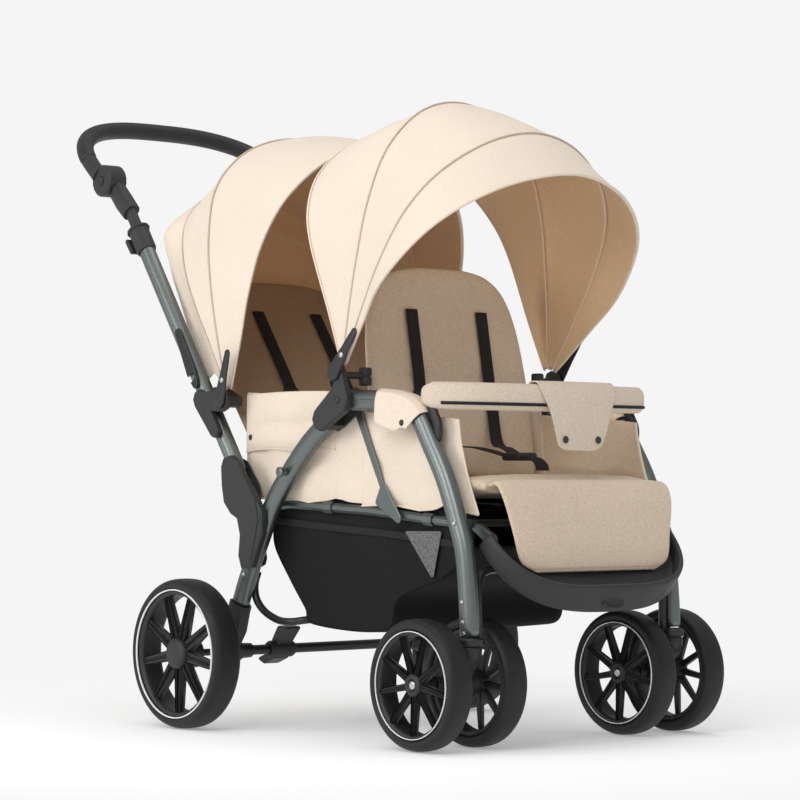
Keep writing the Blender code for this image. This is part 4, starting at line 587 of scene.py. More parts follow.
# %% Rivets and pivot caps
CAP_FORM = [(-0.002, 1.0), (0.0008, 1.0), (0.00144, 0.8), (0.0016, 0.45), (0.0016, 0.0)]
TUBE_FACE = 0.2302
HOUSING_FACE = 0.2424
RIVET_R = 0.0032
FRONT_RIVETS = ((-0.580, 0.343), (-0.598, 0.225), (-0.600, 0.195), (-0.602, 0.178))


def cap(name, sign, x, y, z, radius, body, material=bright_steel):
    """A round head on the side of the frame."""
    form = [(out, radius * share) for out, share in CAP_FORM]
    finish(name, spun(form, at(sign * x, y, z), sign, 24), material, body)


for side, sign in SIDES:
    cap("leg_rivet_" + side, sign, TUBE_FACE, -0.055, 0.253, 0.0034, "rear_frame")
    cap("arch_cap_" + side, sign, HOUSING_FACE, -0.314, 0.535, 0.0060, "rear_frame", dark_paint)
    cap("hinge_cap_" + side, sign, HOUSING_FACE, -0.308, 0.579, 0.0085, "rear_frame", black_plastic)
    for k, (y, z) in enumerate(FRONT_RIVETS):
        cap("front_rivet_%s_%d" % (side, k), sign, TUBE_FACE, y, z, RIVET_R, "front_arch")
print("rivets made, pieces so far", len(made_pieces))

# %% [markdown]
# ## The handle
# The push handle is one bar bent into a squared oval and covered by black foam. A superellipse
# gives the flat middle and the round corners with one formula.

# %% Foam grip
TILT_PIN = (0.358, 0.940)
HANDLE_SLOPE = math.radians(37.9)
HANDLE_REACH = 0.1929
HANDLE_HALF = 0.2292
HANDLE_POWER = 2.8
HANDLE_POINTS = 300
GRIP_R = 0.0155
GRIP_POINTS = 120
BARE_END = 0.068


def handle_point(turn):
    """A point of the handle's line, turn from 0 at the left knuckle to pi at the right one."""
    across = abs(math.cos(turn)) ** (2 / HANDLE_POWER) * HANDLE_HALF
    reach = abs(math.sin(turn)) ** (2 / HANDLE_POWER) * HANDLE_REACH
    return at(math.copysign(across, -math.cos(turn)), TILT_PIN[0] + math.cos(HANDLE_SLOPE) * reach,
              TILT_PIN[1] + math.sin(HANDLE_SLOPE) * reach)


whole = even([handle_point(math.pi * k / 400) for k in range(401)], HANDLE_POINTS)
length = sum((b - a).length for a, b in zip(whole, whole[1:]))
skipped = int(BARE_END / length * (HANDLE_POINTS - 1))
grip_line = even(whole[skipped:-skipped], GRIP_POINTS)
grip_end = [GRIP_R * 0.80, GRIP_R * 0.93]
rounded = grip_end + [GRIP_R] * (GRIP_POINTS - 4) + grip_end[::-1]
slope_normal = Vector((0, -math.sin(HANDLE_SLOPE), math.cos(HANDLE_SLOPE)))
finish("foam_grip", sweep(grip_line, rounded, rounded, hint=slope_normal, sides=24), foam, "handle",
       ("handle_grip",))
print("handle line", round(length, 3), "m")

# %% [markdown]
# ## Wheels
# A tyre is a profile spun about the axle. The spokes are cut alike and set round the hub nine
# times. The white line on the wall is its own thin ring.

# %% Wheel helpers
SPOKES = 9
SHOULDER = 0.74


def add_spoke(bm, centre, outward, turn, root, tip):
    """One tapered spoke: (radius, half width, middle, half depth) at its root and tip."""
    verts = bmesh.ops.create_cube(bm, size=2.0)["verts"]
    for v in verts:
        radius, half, middle, depth = tip if v.co.z > 0 else root
        v.co = Vector((outward * (middle + v.co.x * depth), v.co.y * half, radius))
    edges = list({e for v in verts for e in v.link_edges})
    made = bmesh.ops.bevel(bm, geom=edges, offset=0.0012, segments=2, affect="EDGES", profile=0.5,
                           material=-1)
    verts = list({v for f in made["faces"] for v in f.verts} | {v for v in verts if v.is_valid})
    place = Matrix.Translation(centre) @ Matrix.Rotation(turn, 4, "X")
    bmesh.ops.transform(bm, matrix=place, verts=verts)


def joined(*parts):
    """One bmesh from several."""
    whole = bmesh.new()
    for part in parts:
        mesh = bpy.data.meshes.new("joined")
        part.to_mesh(mesh)
        part.free()
        whole.from_mesh(mesh)
        bpy.data.meshes.remove(mesh)
    return whole


def mirrored_profile(half):
    """A profile that is the same on both sides of the wheel."""
    return half + [(-out, radius) for out, radius in reversed(half[:-1])]


def tyre_profile(radius, wall, half):
    """Half a tyre's section from its inner edge to the middle of the tread, then mirrored."""
    inner = radius - wall
    side = [(half * 0.72, inner), (half * 0.93, inner + wall * 0.10), (half, inner + wall * 0.34),
            (half * 0.985, inner + wall * 0.55), (half * 0.93, inner + wall * 0.70),
            (half * SHOULDER, inner + wall * 0.90), (half * 0.5, radius - 0.0006), (0.0, radius)]
    return [(0.0, inner)] + mirrored_profile(side) + [(0.0, inner)]


def round_map(bm, centre, half):
    """A map for the tread: the turn about the axle in u, the place across the tyre in v."""
    layer = bm.loops.layers.uv.new("round")
    for face in bm.faces:
        first = None
        for loop in face.loops:
            spot = loop.vert.co - centre
            turn = math.atan2(spot.z, spot.y) / math.tau
            if first is None:
                first = turn
            turn -= round(turn - first)
            loop[layer].uv = (turn, spot.x / half)
    return bm


def wheel(axle, side, form, centre, outward, body, tyre_node, rim_node):
    """One wheel: its tyre, the white ring on the wall, and the rim with hub and spokes."""
    radius, wall, half = form["tyre"]
    tyre = round_map(spun(tyre_profile(radius, wall, half), centre, outward), centre, half)
    finish(axle + "_tyre_" + side, tyre, tyre_rubber, body, tyre_node, 1)
    finish(axle + "_ring_" + side, spun(form["ring"], centre, outward), ring_white, body)
    spokes = bmesh.new()
    for k in range(SPOKES):
        for root, tip in form["spoke"]:
            add_spoke(spokes, centre, outward, math.tau * (k + 0.5) / SPOKES, root, tip)
    rim = joined(spun(form["band"], centre, outward), spun(form["hub"], centre, outward, 48), spokes)
    finish(axle + "_rim_" + side, rim, black_plastic, body, rim_node)


print("wheel helpers ready")

# %% Rear wheels
# The tyre is (radius, height of the wall, half width). A profile is a list of (out from the
# wheel's middle, radius). A spoke has a wide back and a narrow ridge.
REAR_R = 0.1234
REAR_TRACK = 0.3073
REAR_WHEEL = {
    "tyre": (REAR_R, 0.0185, 0.0262),
    "ring": [(0.0240, 0.1061), (0.0262, 0.1058), (0.0266, 0.1050), (0.0262, 0.1042), (0.0240, 0.1039)],
    "band": [(-0.020, 0.1046), (0.0215, 0.1046), (0.0225, 0.1040), (0.0205, 0.0975), (0.0150, 0.0955),
             (-0.0150, 0.0955), (-0.020, 0.0975), (-0.020, 0.1046)],
    "hub": [(-0.020, 0.0), (-0.020, 0.024), (0.0130, 0.0265), (0.0205, 0.0255), (0.0235, 0.0225),
            (0.0245, 0.015), (0.0248, 0.0)],
    "spoke": [((0.022, 0.0092, 0.010, 0.0055), (0.0975, 0.0062, 0.0115, 0.0040)),
              ((0.022, 0.0016, 0.0165, 0.0020), (0.0970, 0.0014, 0.0160, 0.0016))]}
for side, sign in SIDES:
    wheel("rear", side, REAR_WHEEL, at(sign * REAR_TRACK, 0, REAR_R), sign, "rear_wheel_" + side,
          ("rear_wheel_%s_tyre" % side,), ("rear_wheel_%s_rim" % side,))
print("rear wheels made")

# %% Front wheels
FRONT_R = 0.1003
WHEELBASE = 0.5518
CASTER_X = 0.2167
TWIN_HALF = 0.05535
FRONT_WHEEL = {
    "tyre": (FRONT_R, 0.0180, 0.0223),
    "ring": [(0.0205, 0.0817), (0.0222, 0.0815), (0.0225, 0.0810), (0.0222, 0.0805), (0.0205, 0.0803)],
    "band": [(-0.017, 0.0824), (0.0180, 0.0824), (0.0188, 0.0815), (0.0170, 0.0760), (0.0120, 0.0745),
             (-0.0120, 0.0745), (-0.017, 0.0760), (-0.017, 0.0824)],
    "hub": [(-0.018, 0.0), (-0.018, 0.016), (0.0110, 0.0185), (0.0170, 0.0170), (0.0190, 0.0125),
            (0.0185, 0.010), (0.0150, 0.0095), (0.0150, 0.0)],
    "spoke": [((0.0150, 0.0052, 0.009, 0.0050), (0.0760, 0.0040, 0.0125, 0.0034)),
              ((0.0160, 0.0014, 0.0145, 0.0014), (0.0755, 0.0012, 0.0163, 0.0010))]}
AXLE_NUT = [(0.0140, 0.0), (0.0175, 0.0), (0.0182, 0.0035), (0.0178, 0.0062), (0.0150, 0.0072),
            (0.0140, 0.0)]
for side, sign in SIDES:
    for place, outward in (("outer", sign), ("inner", -sign)):
        label = side + "_" + place
        body = "front_wheel_" + label
        centre = at(sign * CASTER_X + outward * TWIN_HALF, -WHEELBASE, FRONT_R)
        wheel("front", label, FRONT_WHEEL, centre, outward, body, (body,), ())
        finish("axle_nut_" + label, spun(AXLE_NUT, centre, outward, 24), bright_steel, body)
print("front wheels made")

# %% [markdown]
# ## Canopies
# Each canopy hangs on bows that turn about one hinge line. A bow is drawn as half an outline,
# (distance out, distance from the hinge). The cloth between two bows is one curved sheet: it
# could be simulated, but pulled tight over bows it is simply a surface that runs smoothly from
# one bow to the next with a slight sag between.

# %% Canopy bows
FRONT_HINGE = (-0.308, 0.579)
REAR_HINGE = (-0.003, 0.541)
FRONT_BOWS = [
    (67.0, [(0.229, 0.018), (0.226, 0.110), (0.225, 0.235), (0.208, 0.305), (0.165, 0.368),
            (0.090, 0.423), (0, 0.440)]),
    (94.5, [(0.229, 0.018), (0.219, 0.110), (0.207, 0.190), (0.188, 0.280), (0.152, 0.365),
            (0.085, 0.430), (0, 0.452)]),
    (121.0, [(0.229, 0.018), (0.232, 0.110), (0.231, 0.200), (0.214, 0.290), (0.168, 0.362),
             (0.089, 0.416), (0, 0.436)]),
    (134.5, [(0.229, 0.018), (0.246, 0.110), (0.258, 0.190), (0.232, 0.290), (0.178, 0.359),
             (0.100, 0.408), (0, 0.430)])]
REAR_BOWS = [
    (59.5, [(0.222, 0.022), (0.222, 0.110), (0.225, 0.200), (0.214, 0.290), (0.175, 0.375),
            (0.100, 0.435), (0, 0.465)]),
    (80.0, [(0.225, 0.022), (0.230, 0.110), (0.231, 0.200), (0.222, 0.290), (0.190, 0.380),
            (0.110, 0.447), (0, 0.474)]),
    (109.0, [(0.222, 0.022), (0.224, 0.110), (0.228, 0.190), (0.220, 0.280), (0.185, 0.360),
             (0.108, 0.428), (0, 0.454)])]
BOW_HALF = 0.229
BOW_REACH = 0.44
LAYER_STEP = 0.0036
SAG = 0.010
RIPPLE = 0.0012
LAP = 1.3


def past(bow, degrees):
    """The same bow a little further round."""
    return (bow[0] + degrees, bow[1])


def bow_line(bow, layer):
    """The whole of a bow in its own plane, foot to foot, with the layer's inset."""
    inset = layer * LAYER_STEP
    half = [Vector((x - inset * (x / BOW_HALF), r - inset * (r / BOW_REACH))) for x, r in bow]
    line = [Vector((-p.x, p.y)) for p in half[:-1]] + half[::-1]
    return smooth_line(line, 97)


def canopy_surface(hinge, low, high, layer):
    """A function from (u, v) to the cloth's place between two bows."""
    first = bow_line(low[1], layer)
    last = bow_line(high[1], layer)

    def where(u, v):
        share = (v + 1) / 2
        flat = on_line(first, (u + 1) / 2).lerp(on_line(last, (u + 1) / 2), share)
        taut = min(flat.y / 0.2, 1.0)
        ripple = RIPPLE * noise.noise(Vector((u * 5.0, v * 2.5, low[0]))) * taut
        r = flat.y * (1 - SAG * math.sin(math.pi * share) * taut) + ripple
        turn = math.radians(low[0] + (high[0] - low[0]) * share)
        return at(flat.x, hinge[0] + r * math.cos(turn), hinge[1] + r * math.sin(turn))
    return where


def facing_out(bm, hub):
    """Turn a sheet so that its faces look away from a point."""
    bm.normal_update()
    score = sum(face.normal.dot(face.calc_center_median() - hub) for face in bm.faces)
    if score < 0:
        bmesh.ops.reverse_faces(bm, faces=bm.faces[:])
    return bm


def cloth_panel(name, where, columns, rows, hub, body, replaces=(), thick=0.0026, outer=cream,
                inner=lining, held="stretched", rests=()):
    """A sheet with a lining inside and a little thickness; its cut size is worked out but not kept."""
    bm = facing_out(cloth_grid(where, columns, rows), hub)
    area = area_of(bm)
    piece = finish(name, bm, [outer, inner], body, replaces, 1)
    shell = thicken(piece, thick)
    shell.material_offset = 1
    shell.material_offset_rim = 0
    cut_size(where)


# By default a seam takes the darker cream, painted shade for its shadow line.
def welt(name, where, v, body, radius=0.0016, material=seam_painted_shade):
    """A piped seam that follows the cloth at one v, a millimetre proud of it."""
    line = even([where(-1 + 2 * k / 120, v) for k in range(121)], 110)
    hub = sum(line, Vector()) / len(line)
    line = [p + (p - hub).normalized() * 0.0010 for p in line]
    finish(name, sweep(line, radius, radius, hint=(0, 1, 0.01), sides=10), material, body)


print("canopy helpers ready")

# %% Front canopy
rear_bow, groove_bow, seam_bow, rim_bow = FRONT_BOWS
FRONT_HUB = at(0, -0.308, 0.60)
FRONT_PANELS = (
    ("front_hood_back", rear_bow, past(groove_bow, LAP), 2, "rear_frame", "front_canopy_rear"),
    ("front_hood_middle", past(groove_bow, -LAP), past(seam_bow, LAP), 1, "front_canopy_mid",
     "front_canopy_mid"),
    ("front_hood_visor", past(seam_bow, -LAP), rim_bow, 0, "front_canopy_visor",
     "front_canopy_visor"))
for name, low, high, layer, body, node in FRONT_PANELS:
    where = canopy_surface(FRONT_HINGE, low, high, layer)
    cloth_panel(name, where, 72, 16, FRONT_HUB, body, (node,), rests=["rear_frame"] if layer == 2 else [])
    if layer == 0:
        welt(name + "_front_hem", where, 1.0, body, 0.0019, cream)
    welt(name + "_rear_hem", where, -1.0, body, material=seam_painted_shade if layer < 2 else cream)
print("front canopy made")

# %% Rear canopy, with the curtain behind the seat
# The rear hood runs over its bow at BOW_V and down to a hem, where it is drawn in to HEM_HALF.
# From there the curtain hangs down to CURTAIN_FOOT, where it lies against the leaning push tubes.
# Heights along the hem are counted from HOOD_FOOT.
bow, seam, rim = REAR_BOWS
REAR_HUB = at(0, -0.003, 0.60)
BOW_V = -0.4
HEM_HALF = 0.1985
HOOD_FOOT = 0.560
HOOD_HEIGHT = 0.44
CURTAIN_FOOT = 0.600
TUBE_LEAN = 0.69
push_along = (Vector((0, *PUSH_HIGH)) - Vector((0, *PUSH_LOW))).normalized()
push_back = Vector((0, push_along.z, -push_along.y))
body_surface = canopy_surface(REAR_HINGE, bow, past(seam, LAP), 1)


def rear_hood(u, v):
    """The rear hood from the hem of its curtain, v = -1, over the bow to the seam, v = 1."""
    if v > BOW_V:
        return body_surface(u, -1 + 2 * (v - BOW_V) / (1 - BOW_V))
    start_row = body_surface(u, -1)
    over = start_row.z - HOOD_FOOT
    high = max(over / HOOD_HEIGHT, 0.0)
    share = (v - BOW_V) / (-1 - BOW_V)
    last_third = max(share * 3 - 2, 0.0)
    square = min(high * 1.6, 1.0)
    wider = 1.10 if high > 0.80 else 1 + 0.16 * square * square
    half = min(abs(start_row.x) * wider, HEM_HALF)
    narrow = abs(start_row.x) + (half - abs(start_row.x)) * min(share * 2.0, 1.0)
    depth = 0.047 * min(share * 1.5, 1.0) + 0.009 * last_third
    drop = 0.070 * last_third * high
    lift = max(0.062 - over, 0.0) * min(share * 2.5, 1.0)
    point = Vector((math.copysign(narrow, start_row.x), start_row.y, start_row.z))
    return point + push_back * depth - push_along * drop + push_along * lift


def curtain(u, v):
    """The cloth that hangs from the hem of the rear hood down behind the rear seat."""
    hem = rear_hood(u * 0.985, -0.97)
    low = min(hem.z, CURTAIN_FOOT)
    foot = at(hem.x * 0.96, 0.045 + (low - 0.500) * TUBE_LEAN, low)
    share = (v + 1) / 2
    swell = 0.006 * math.sin(math.pi * share) * (1 + noise.noise(Vector((u * 3, v * 2, 5.0))))
    return foot.lerp(hem, share) + push_back * swell


cloth_panel("rear_hood_back", rear_hood, 72, 26, REAR_HUB, "push_bar", ("rear_canopy_rear",),
            rests=["push_bar"])
welt("rear_hood_bow_seam", rear_hood, BOW_V, "push_bar", 0.0012)
cloth_panel("rear_curtain", curtain, 60, 24, REAR_HUB, "push_bar", held="hung", rests=["push_bar"])
front_surface = canopy_surface(REAR_HINGE, past(seam, -LAP), rim, 0)
cloth_panel("rear_hood_front", front_surface, 72, 18, REAR_HUB, "rear_canopy_front",
            ("rear_canopy_front",))
welt("rear_hood_rim", front_surface, 1.0, "rear_canopy_front", 0.0020, cream)
welt("rear_hood_seam", front_surface, -1.0, "rear_canopy_front")
print("rear canopy made")

# %% Canopy arms
# An arm is a row of (distance from the hinge, half thickness, half width).
ARM_FORM = [(-0.012, 0.0018, 0.0080), (0.0, 0.0026, 0.0140), (0.02, 0.0026, 0.0120),
            (0.045, 0.0026, 0.0088), (0.070, 0.0026, 0.0072), (0.084, 0.0022, 0.0062),
            (0.088, 0.0012, 0.0030)]
ARM_RIVET = [(0.0, 0.0046), (0.0012, 0.0042), (0.0016, 0.0020), (0.0016, 0.0)]
RIVET_REACH = 0.036
ARMS = (("front_hood_arm", FRONT_HINGE, 130.5, 0.2427, "front_canopy_visor"),
        ("rear_hood_arm", REAR_HINGE, 106.0, 0.2397, "rear_canopy_front"))
reaches, thicknesses, widths = [list(column) for column in zip(*ARM_FORM)]
for side, sign in SIDES:
    for name, hinge, degrees, x, body in ARMS:
        turn = math.radians(degrees)
        ray = Vector((0, math.cos(turn), math.sin(turn)))
        line = [at(sign * (x + 0.0026), *hinge) + ray * reach for reach in reaches]
        finish(name + "_" + side, sweep(line, thicknesses, widths, sides=20, power=3.0), black_plastic,
               body, ())
        spot = at(sign * (x + 0.0050), *hinge) + ray * RIVET_REACH
        finish(name + "_rivet_" + side, spun(ARM_RIVET, spot, sign, 20), bright_steel, body)
print("arms made")

# %% [markdown]
# ## Seats
# A seat cushion is a crowned form with drawn-in sides and sewn channels. Its thickness is a
# product of two arches, one across and one along, less a narrow dip where a seam runs.

# %% Seat forms
CUSHION_HALF = 0.1895


def crown(u, v, full, edge, square=4.0):
    """Half thickness of a cushion: full in the middle and drawn in to its seam."""
    rise = (1 - abs(u) ** square) * (1 - abs(v) ** square)
    return edge + (full - edge) * math.sqrt(max(rise, 0.0))


def channel(value, depth, place, width):
    """A dip of a given depth at one place."""
    return depth * math.exp(-((value - place) / width) ** 2)


def stuffed(full, edge, seam, side_seam, fade, lumps):
    """A function for the half thickness of a sewn cushion. A seam is (depth, place, width), and
    lumps are (height, waves across, waves along, place in the noise)."""
    height, across, along, layer = lumps

    def thick(u, v):
        sewn = channel(v, *seam) * (1 - abs(u) ** fade) + channel(abs(u), *side_seam) * (1 - abs(v) ** fade)
        lump = height * noise.noise(Vector((u * across, v * along, layer)))
        return crown(u, v, full, edge) * (1 - sewn) + lump * (1 - u * u) * (1 - v * v)
    return thick


def side_view_sheet(path, halves):
    """A middle surface that follows a side view line, with half widths along it."""
    line = through([(y, z, half) for (y, z), half in zip(path, halves)])

    def middle(u, v):
        point = on_line(line, (v + 1) / 2)
        return at(u * point.z, point.x, point.y)
    return middle


def cushion(name, path, halves, thick, grid, material, body, node):
    """A stuffed cushion along a side view line."""
    form = cushion_form(side_view_sheet(path, halves), thick, *grid)
    piece = finish(name, form, material, body, (node,), 1)


print("seat helpers ready")

# %% Benches
BENCHES = {"front": ([(-0.292, 0.402), (-0.360, 0.398), (-0.470, 0.396), (-0.560, 0.402), (-0.596, 0.398)],
                     [CUSHION_HALF] * 4 + [0.180], -0.15),
           "rear": ([(-0.060, 0.4035), (-0.150, 0.400), (-0.225, 0.398), (-0.268, 0.396)],
                    [CUSHION_HALF] * 4, 0.0)}
for seat, (path, halves, seam_place) in BENCHES.items():
    thick = stuffed(0.0165, 0.0045, (0.30, seam_place, 0.05), (0.14, 0.62, 0.03), 2, (0.0010, 4, 4, 2.0))
    cushion(seat + "_bench", path, halves, thick, (56, 40), melange, "front_arch", seat + "_seat")
print("benches made")

# %% Backrests
FRONT_BACK = [(-0.331, 0.4150), (-0.319, 0.500), (-0.305, 0.580), (-0.291, 0.660), (-0.282, 0.715),
              (-0.278, 0.745), (-0.276, 0.757)]
REAR_BACK = [(-0.0563, 0.4058), (0.000, 0.495), (0.060, 0.583), (0.120, 0.670), (0.156, 0.722),
             (0.172, 0.746), (0.178, 0.755)]
# The rear pad takes the darker melange, painted shade for the rear hood's shadow over it.
BACKS = {"front": (FRONT_BACK, [0.170, 0.173, 0.172, 0.163, 0.142, 0.105, 0.050], melange),
         "rear": (REAR_BACK, [0.176, 0.184, 0.186, 0.176, 0.152, 0.110, 0.055], painted_shade_melange)}
thick = stuffed(0.0125, 0.0035, (0.30, -0.35, 0.035), (0.16, 0.55, 0.025), 4, (0.0012, 3.5, 4.5, 7.0))
for seat, (path, halves, cloth) in BACKS.items():
    body = seat + "_backrest"
    cushion(seat + "_back_pad", path, halves, thick, (52, 60), cloth, body, body)
print("backrests made")

# %% [markdown]
# ## Side cloths
# Cloth hangs beside each seat from the top tube to the seat tube. It is a single sheet with a few
# soft folds, a flap over its upper half and a corded hem.

# %% Side cloths and flaps
# A row tells the stem, the middle of the seat, the grid, the thickness and the hem's radius, then
# the ends, the heights of foot and top at both ends, the folds and their depth, the place across
# and how much further forward the foot reaches.
SIDE_CLOTHS = (
    ("rear_side", -0.14, (30, 60), 0.0022, 0.0020, (-0.015, -0.325), (0.3760, 0.3690),
     (0.5560, 0.5280), 4, 0.0014, 0.1920, 0.018),
    ("rear_flap", -0.14, (20, 44), 0.0016, 0.0012, (-0.019, -0.255), (0.4560, 0.4575),
     (0.5520, 0.5520), 2, 0.0008, 0.1962, 0.0),
    ("front_side", -0.45, (30, 44), 0.0022, 0.0020, (-0.318, -0.548), (0.3680, 0.3560),
     (0.5180, 0.5020), 2, 0.0012, 0.1920, 0.046))


def hanging(sign, ends, lows, tops, folds, depth, x, reach):
    """A function for a cloth that hangs beside a seat, with u up the cloth and v along it."""
    def where(u, v):
        share = (v + 1) / 2
        rise = (u + 1) / 2
        ahead = ends[1] - reach * (1 - rise) ** 1.5
        low = lows[0] + (lows[1] - lows[0]) * share + 0.0040 * abs(math.sin(folds * math.pi * share))
        low += 0.0090 * math.exp(-((share - 0.74) / 0.07) ** 2)
        top = tops[0] + (tops[1] - tops[0]) * share + 0.0025 * math.sin(math.pi * share)
        drape = depth * math.sin(folds * math.tau * share + 0.6) * (1 - rise) ** 0.7
        drape += 0.0055 * abs(math.sin(math.tau * (rise ** 0.8))) * math.sin(math.pi * share) ** 0.4
        drape += 0.0012 * noise.noise(Vector((rise * 5, share * 9, 3.0 + sign))) * (1 - rise)
        pull = 0.0006 * noise.noise(Vector((u * 3, v * 6, sign)))
        return at(sign * (x + drape + pull), ends[0] + (ahead - ends[0]) * share, low + (top - low) * rise)
    return where


def edge_welt(name, points, radius=0.0020):
    """A corded edge along a line of points."""
    line = even(points, 60)
    finish(name, sweep(line, radius, radius, hint=(1, 0.02, 0.01), sides=8), side_cream, "front_arch")


for side, sign in SIDES:
    for stem, middle_y, grid, thick, hem_radius, *form in SIDE_CLOTHS:
        where = hanging(sign, *form)
        cloth_panel(stem + "_" + side, where, *grid, at(0, middle_y, 0.46), "front_arch", (), thick,
                    side_cream, melange, "hung")
        edge_welt(stem + "_hem_" + side, [where(-1, -1 + k / 30) for k in range(61)], hem_radius)
    # The upper edge of the front cloth, the last one made, is corded too.
    edge_welt("front_side_edge_" + side, [where(-1 + k / 15, 1) for k in range(31)])
print("side cloths made")

# %% Cloth under the cushions
MESH_THICK = 0.0018


def seat_base(u, v):
    """Black cloth stretched between the seat tubes under both cushions."""
    share = (v + 1) / 2
    return at(u * 0.1865, -0.060 - 0.525 * share, 0.3740 - 0.030 * share - 0.004 * (1 - u * u))


bm = cloth_grid(seat_base, 24, 60)
area = area_of(bm)
base = finish("seat_base_cloth", bm, mesh_cloth, "front_arch")
thicken(base, MESH_THICK)
print("seat base made")

# %% Sleeves over the bend of the front legs
SLEEVE_FROM = -0.398
SLEEVE_TO = -0.490
SLEEVE_OVER = LEG_HALF + 0.0030


def sleeve_on(leg, sign):
    """A function for the sleeve round one leg, with u round the tube and v along it."""
    def where(u, v):
        share = (v + 1) / 2
        i = min(int(share * 59), 58)
        along = (leg[i + 1] - leg[i]).normalized()
        normal = ACROSS.cross(along).normalized()
        if normal.z < 0:
            normal = -normal
        low = 0.040 * (0.80 + 0.35 * math.sin(math.pi * share)) - 0.010 * share
        outline = [(-0.0225, -0.022), (-0.0215, SLEEVE_OVER - 0.006), (-0.012, SLEEVE_OVER + 0.0005),
                   (0.004, SLEEVE_OVER + 0.0010), (0.0140, SLEEVE_OVER - 0.004), (0.0172, 0.002),
                   (0.0172 + 0.0012 * math.sin(share * 9), -low)]
        spot = on_line([Vector(p) for p in outline], (u + 1) / 2)
        return on_line(leg, share) + ACROSS * sign * spot.x + normal * spot.y
    return where


for side, sign in SIDES:
    leg = smooth_line([at(sign * TUBE_X, *p) for p in FRONT_LEG], 200)
    leg = even([p for p in leg if SLEEVE_TO < p.y - SHIFT < SLEEVE_FROM], 60)
    cloth_panel("leg_sleeve_" + side, sleeve_on(leg, sign), 24, 40, at(sign * TUBE_X, -0.47, 0.50),
                "front_arch", (), 0.0020, side_cream, melange, "draped")
print("sleeves made")

# %% Snaps on the flaps and sleeves
SNAP = [(-0.004, 0.0050), (0.0, 0.0052), (0.0010, 0.0046), (0.0012, 0.0)]
SNAPS = (("flap_snap", -0.034, 0.4800, 0.1995), ("sleeve_snap", -0.464, 0.4970, 0.2350))
for side, sign in SIDES:
    for name, y, z, x in SNAPS:
        finish(name + "_" + side, spun(SNAP, at(sign * x, y, z), sign, 24), dark_plastic, "front_arch")
print("snaps made")

# %% [markdown]
# ## Harness
# Webbing is flat and woven. Each strap is a thin flat sweep that lies on its backrest.

# %% Straps and buckles
STRAP_HALF = 0.0125
STRAP_PLACES = (0.13, -0.10, -0.32, -0.58)
STRAP_OFF = 0.0158
CROTCH_HALF = 0.0140
CROTCH_STEPS = ((-0.012, 0.0), (-0.036, -0.003), (-0.050, -0.012), (-0.054, -0.022))
BUCKLE_SIZE = (0.044, 0.040, 0.013)
HARNESSES = (("front", FRONT_BACK, 0.076, (-0.478, 0.446)), ("rear", REAR_BACK, 0.064, (-0.190, 0.446)))


def strap(name, points, half, body, replaces=()):
    """A flat strap along a line."""
    form = sweep(smooth_line(points, 48), half, 0.0011, sides=12, power=4.0)
    finish(name, form, webbing, body, replaces)


def before(line, v, off):
    """The place (y, z) in front of a backrest's line, off from it."""
    share = (v + 1) / 2
    along = (on_line(line, share + 0.01) - on_line(line, share - 0.01)).normalized()
    return on_line(line, share) + Vector((-along.y, along.x)) * off


for seat, path, half, (y, z) in HARNESSES:
    line = through(path)
    body = seat + "_backrest"
    lap = before(line, -0.80, 0.030)
    for side, sign in SIDES:
        points = [at(sign * half, *before(line, v, STRAP_OFF)) for v in STRAP_PLACES]
        points += [at(sign * (half - 0.010), *lap), at(sign * 0.030, (lap.x + y) / 2, z + 0.014),
                   at(sign * 0.010, y + 0.010, z)]
        strap("%s_strap_%s" % (seat, side), points, STRAP_HALF, body,
              (seat + "_harness",) if side == "left" else ())
        held = even(smooth_line(points, 100)[38:46], 6)
        finish("%s_strap_glide_%s" % (seat, side), sweep(held, 0.0150, 0.0030, sides=16, power=5.0),
               black_plastic, body)
    strap(seat + "_crotch_strap", [at(0, y + ahead, z + down) for ahead, down in CROTCH_STEPS],
          CROTCH_HALF, body)
    box = bmesh.new()
    bmesh.ops.create_cube(box, size=1.0)
    bmesh.ops.scale(box, verts=box.verts[:], vec=BUCKLE_SIZE)
    bmesh.ops.translate(box, verts=box.verts[:], vec=at(0, y, z))
    bmesh.ops.bevel(box, geom=box.edges[:], offset=0.0045, segments=4, affect="EDGES", profile=0.5,
                    material=-1)
    finish(seat + "_buckle", box, black_plastic, body)
print("harness made")

# %% [markdown]
# ## Basket
# The basket is mesh cloth on a frame. Its ends slope and its upper edge is bound with tape.

# %% Floor of the basket
BASKET_HALF = 0.1845
BELLY = 0.0030
BELLY_BELOW = 0.20
BASKET_PATH = [(-0.077, 0.343), (-0.080, 0.300), (-0.118, 0.249), (-0.161, 0.200), (-0.185, 0.1735),
               (-0.361, 0.1705), (-0.398, 0.224), (-0.500, 0.258), (-0.574, 0.306)]
basket_line = smooth_line(BASKET_PATH, 100)
BASKET_HUB = at(0, -0.30, 0.28)


def basket_bottom(u, v):
    """Floor and ends of the basket in one sheet, which hangs a little through where it is low."""
    share = (v + 1) / 2
    point = on_line(basket_line, share)
    belly = BELLY * (1 - u * u) * math.sin(math.pi * share) if point.y < BELLY_BELOW else 0.0
    return at(u * BASKET_HALF, point.x, point.y - belly)


sheet = facing_out(cloth_grid(basket_bottom, 30, 99), BASKET_HUB)
area = area_of(sheet)
basket_floor = finish("basket_floor", sheet, mesh_cloth, "rear_frame", ("basket",))
thicken(basket_floor, MESH_THICK)
print("basket floor made")

# %% Sides of the basket
BASKET_RIM = [Vector((-0.092, 0.388)), Vector((-0.344, 0.378)), Vector((-0.574, 0.357))]
WINDOW = [Vector((-0.417, 0.329)), Vector((-0.505, 0.330)), Vector((-0.484, 0.254))]
BINDING = ((-0.077, 0.343), (-0.200, 0.334), (-0.400, 0.322), (-0.574, 0.306))


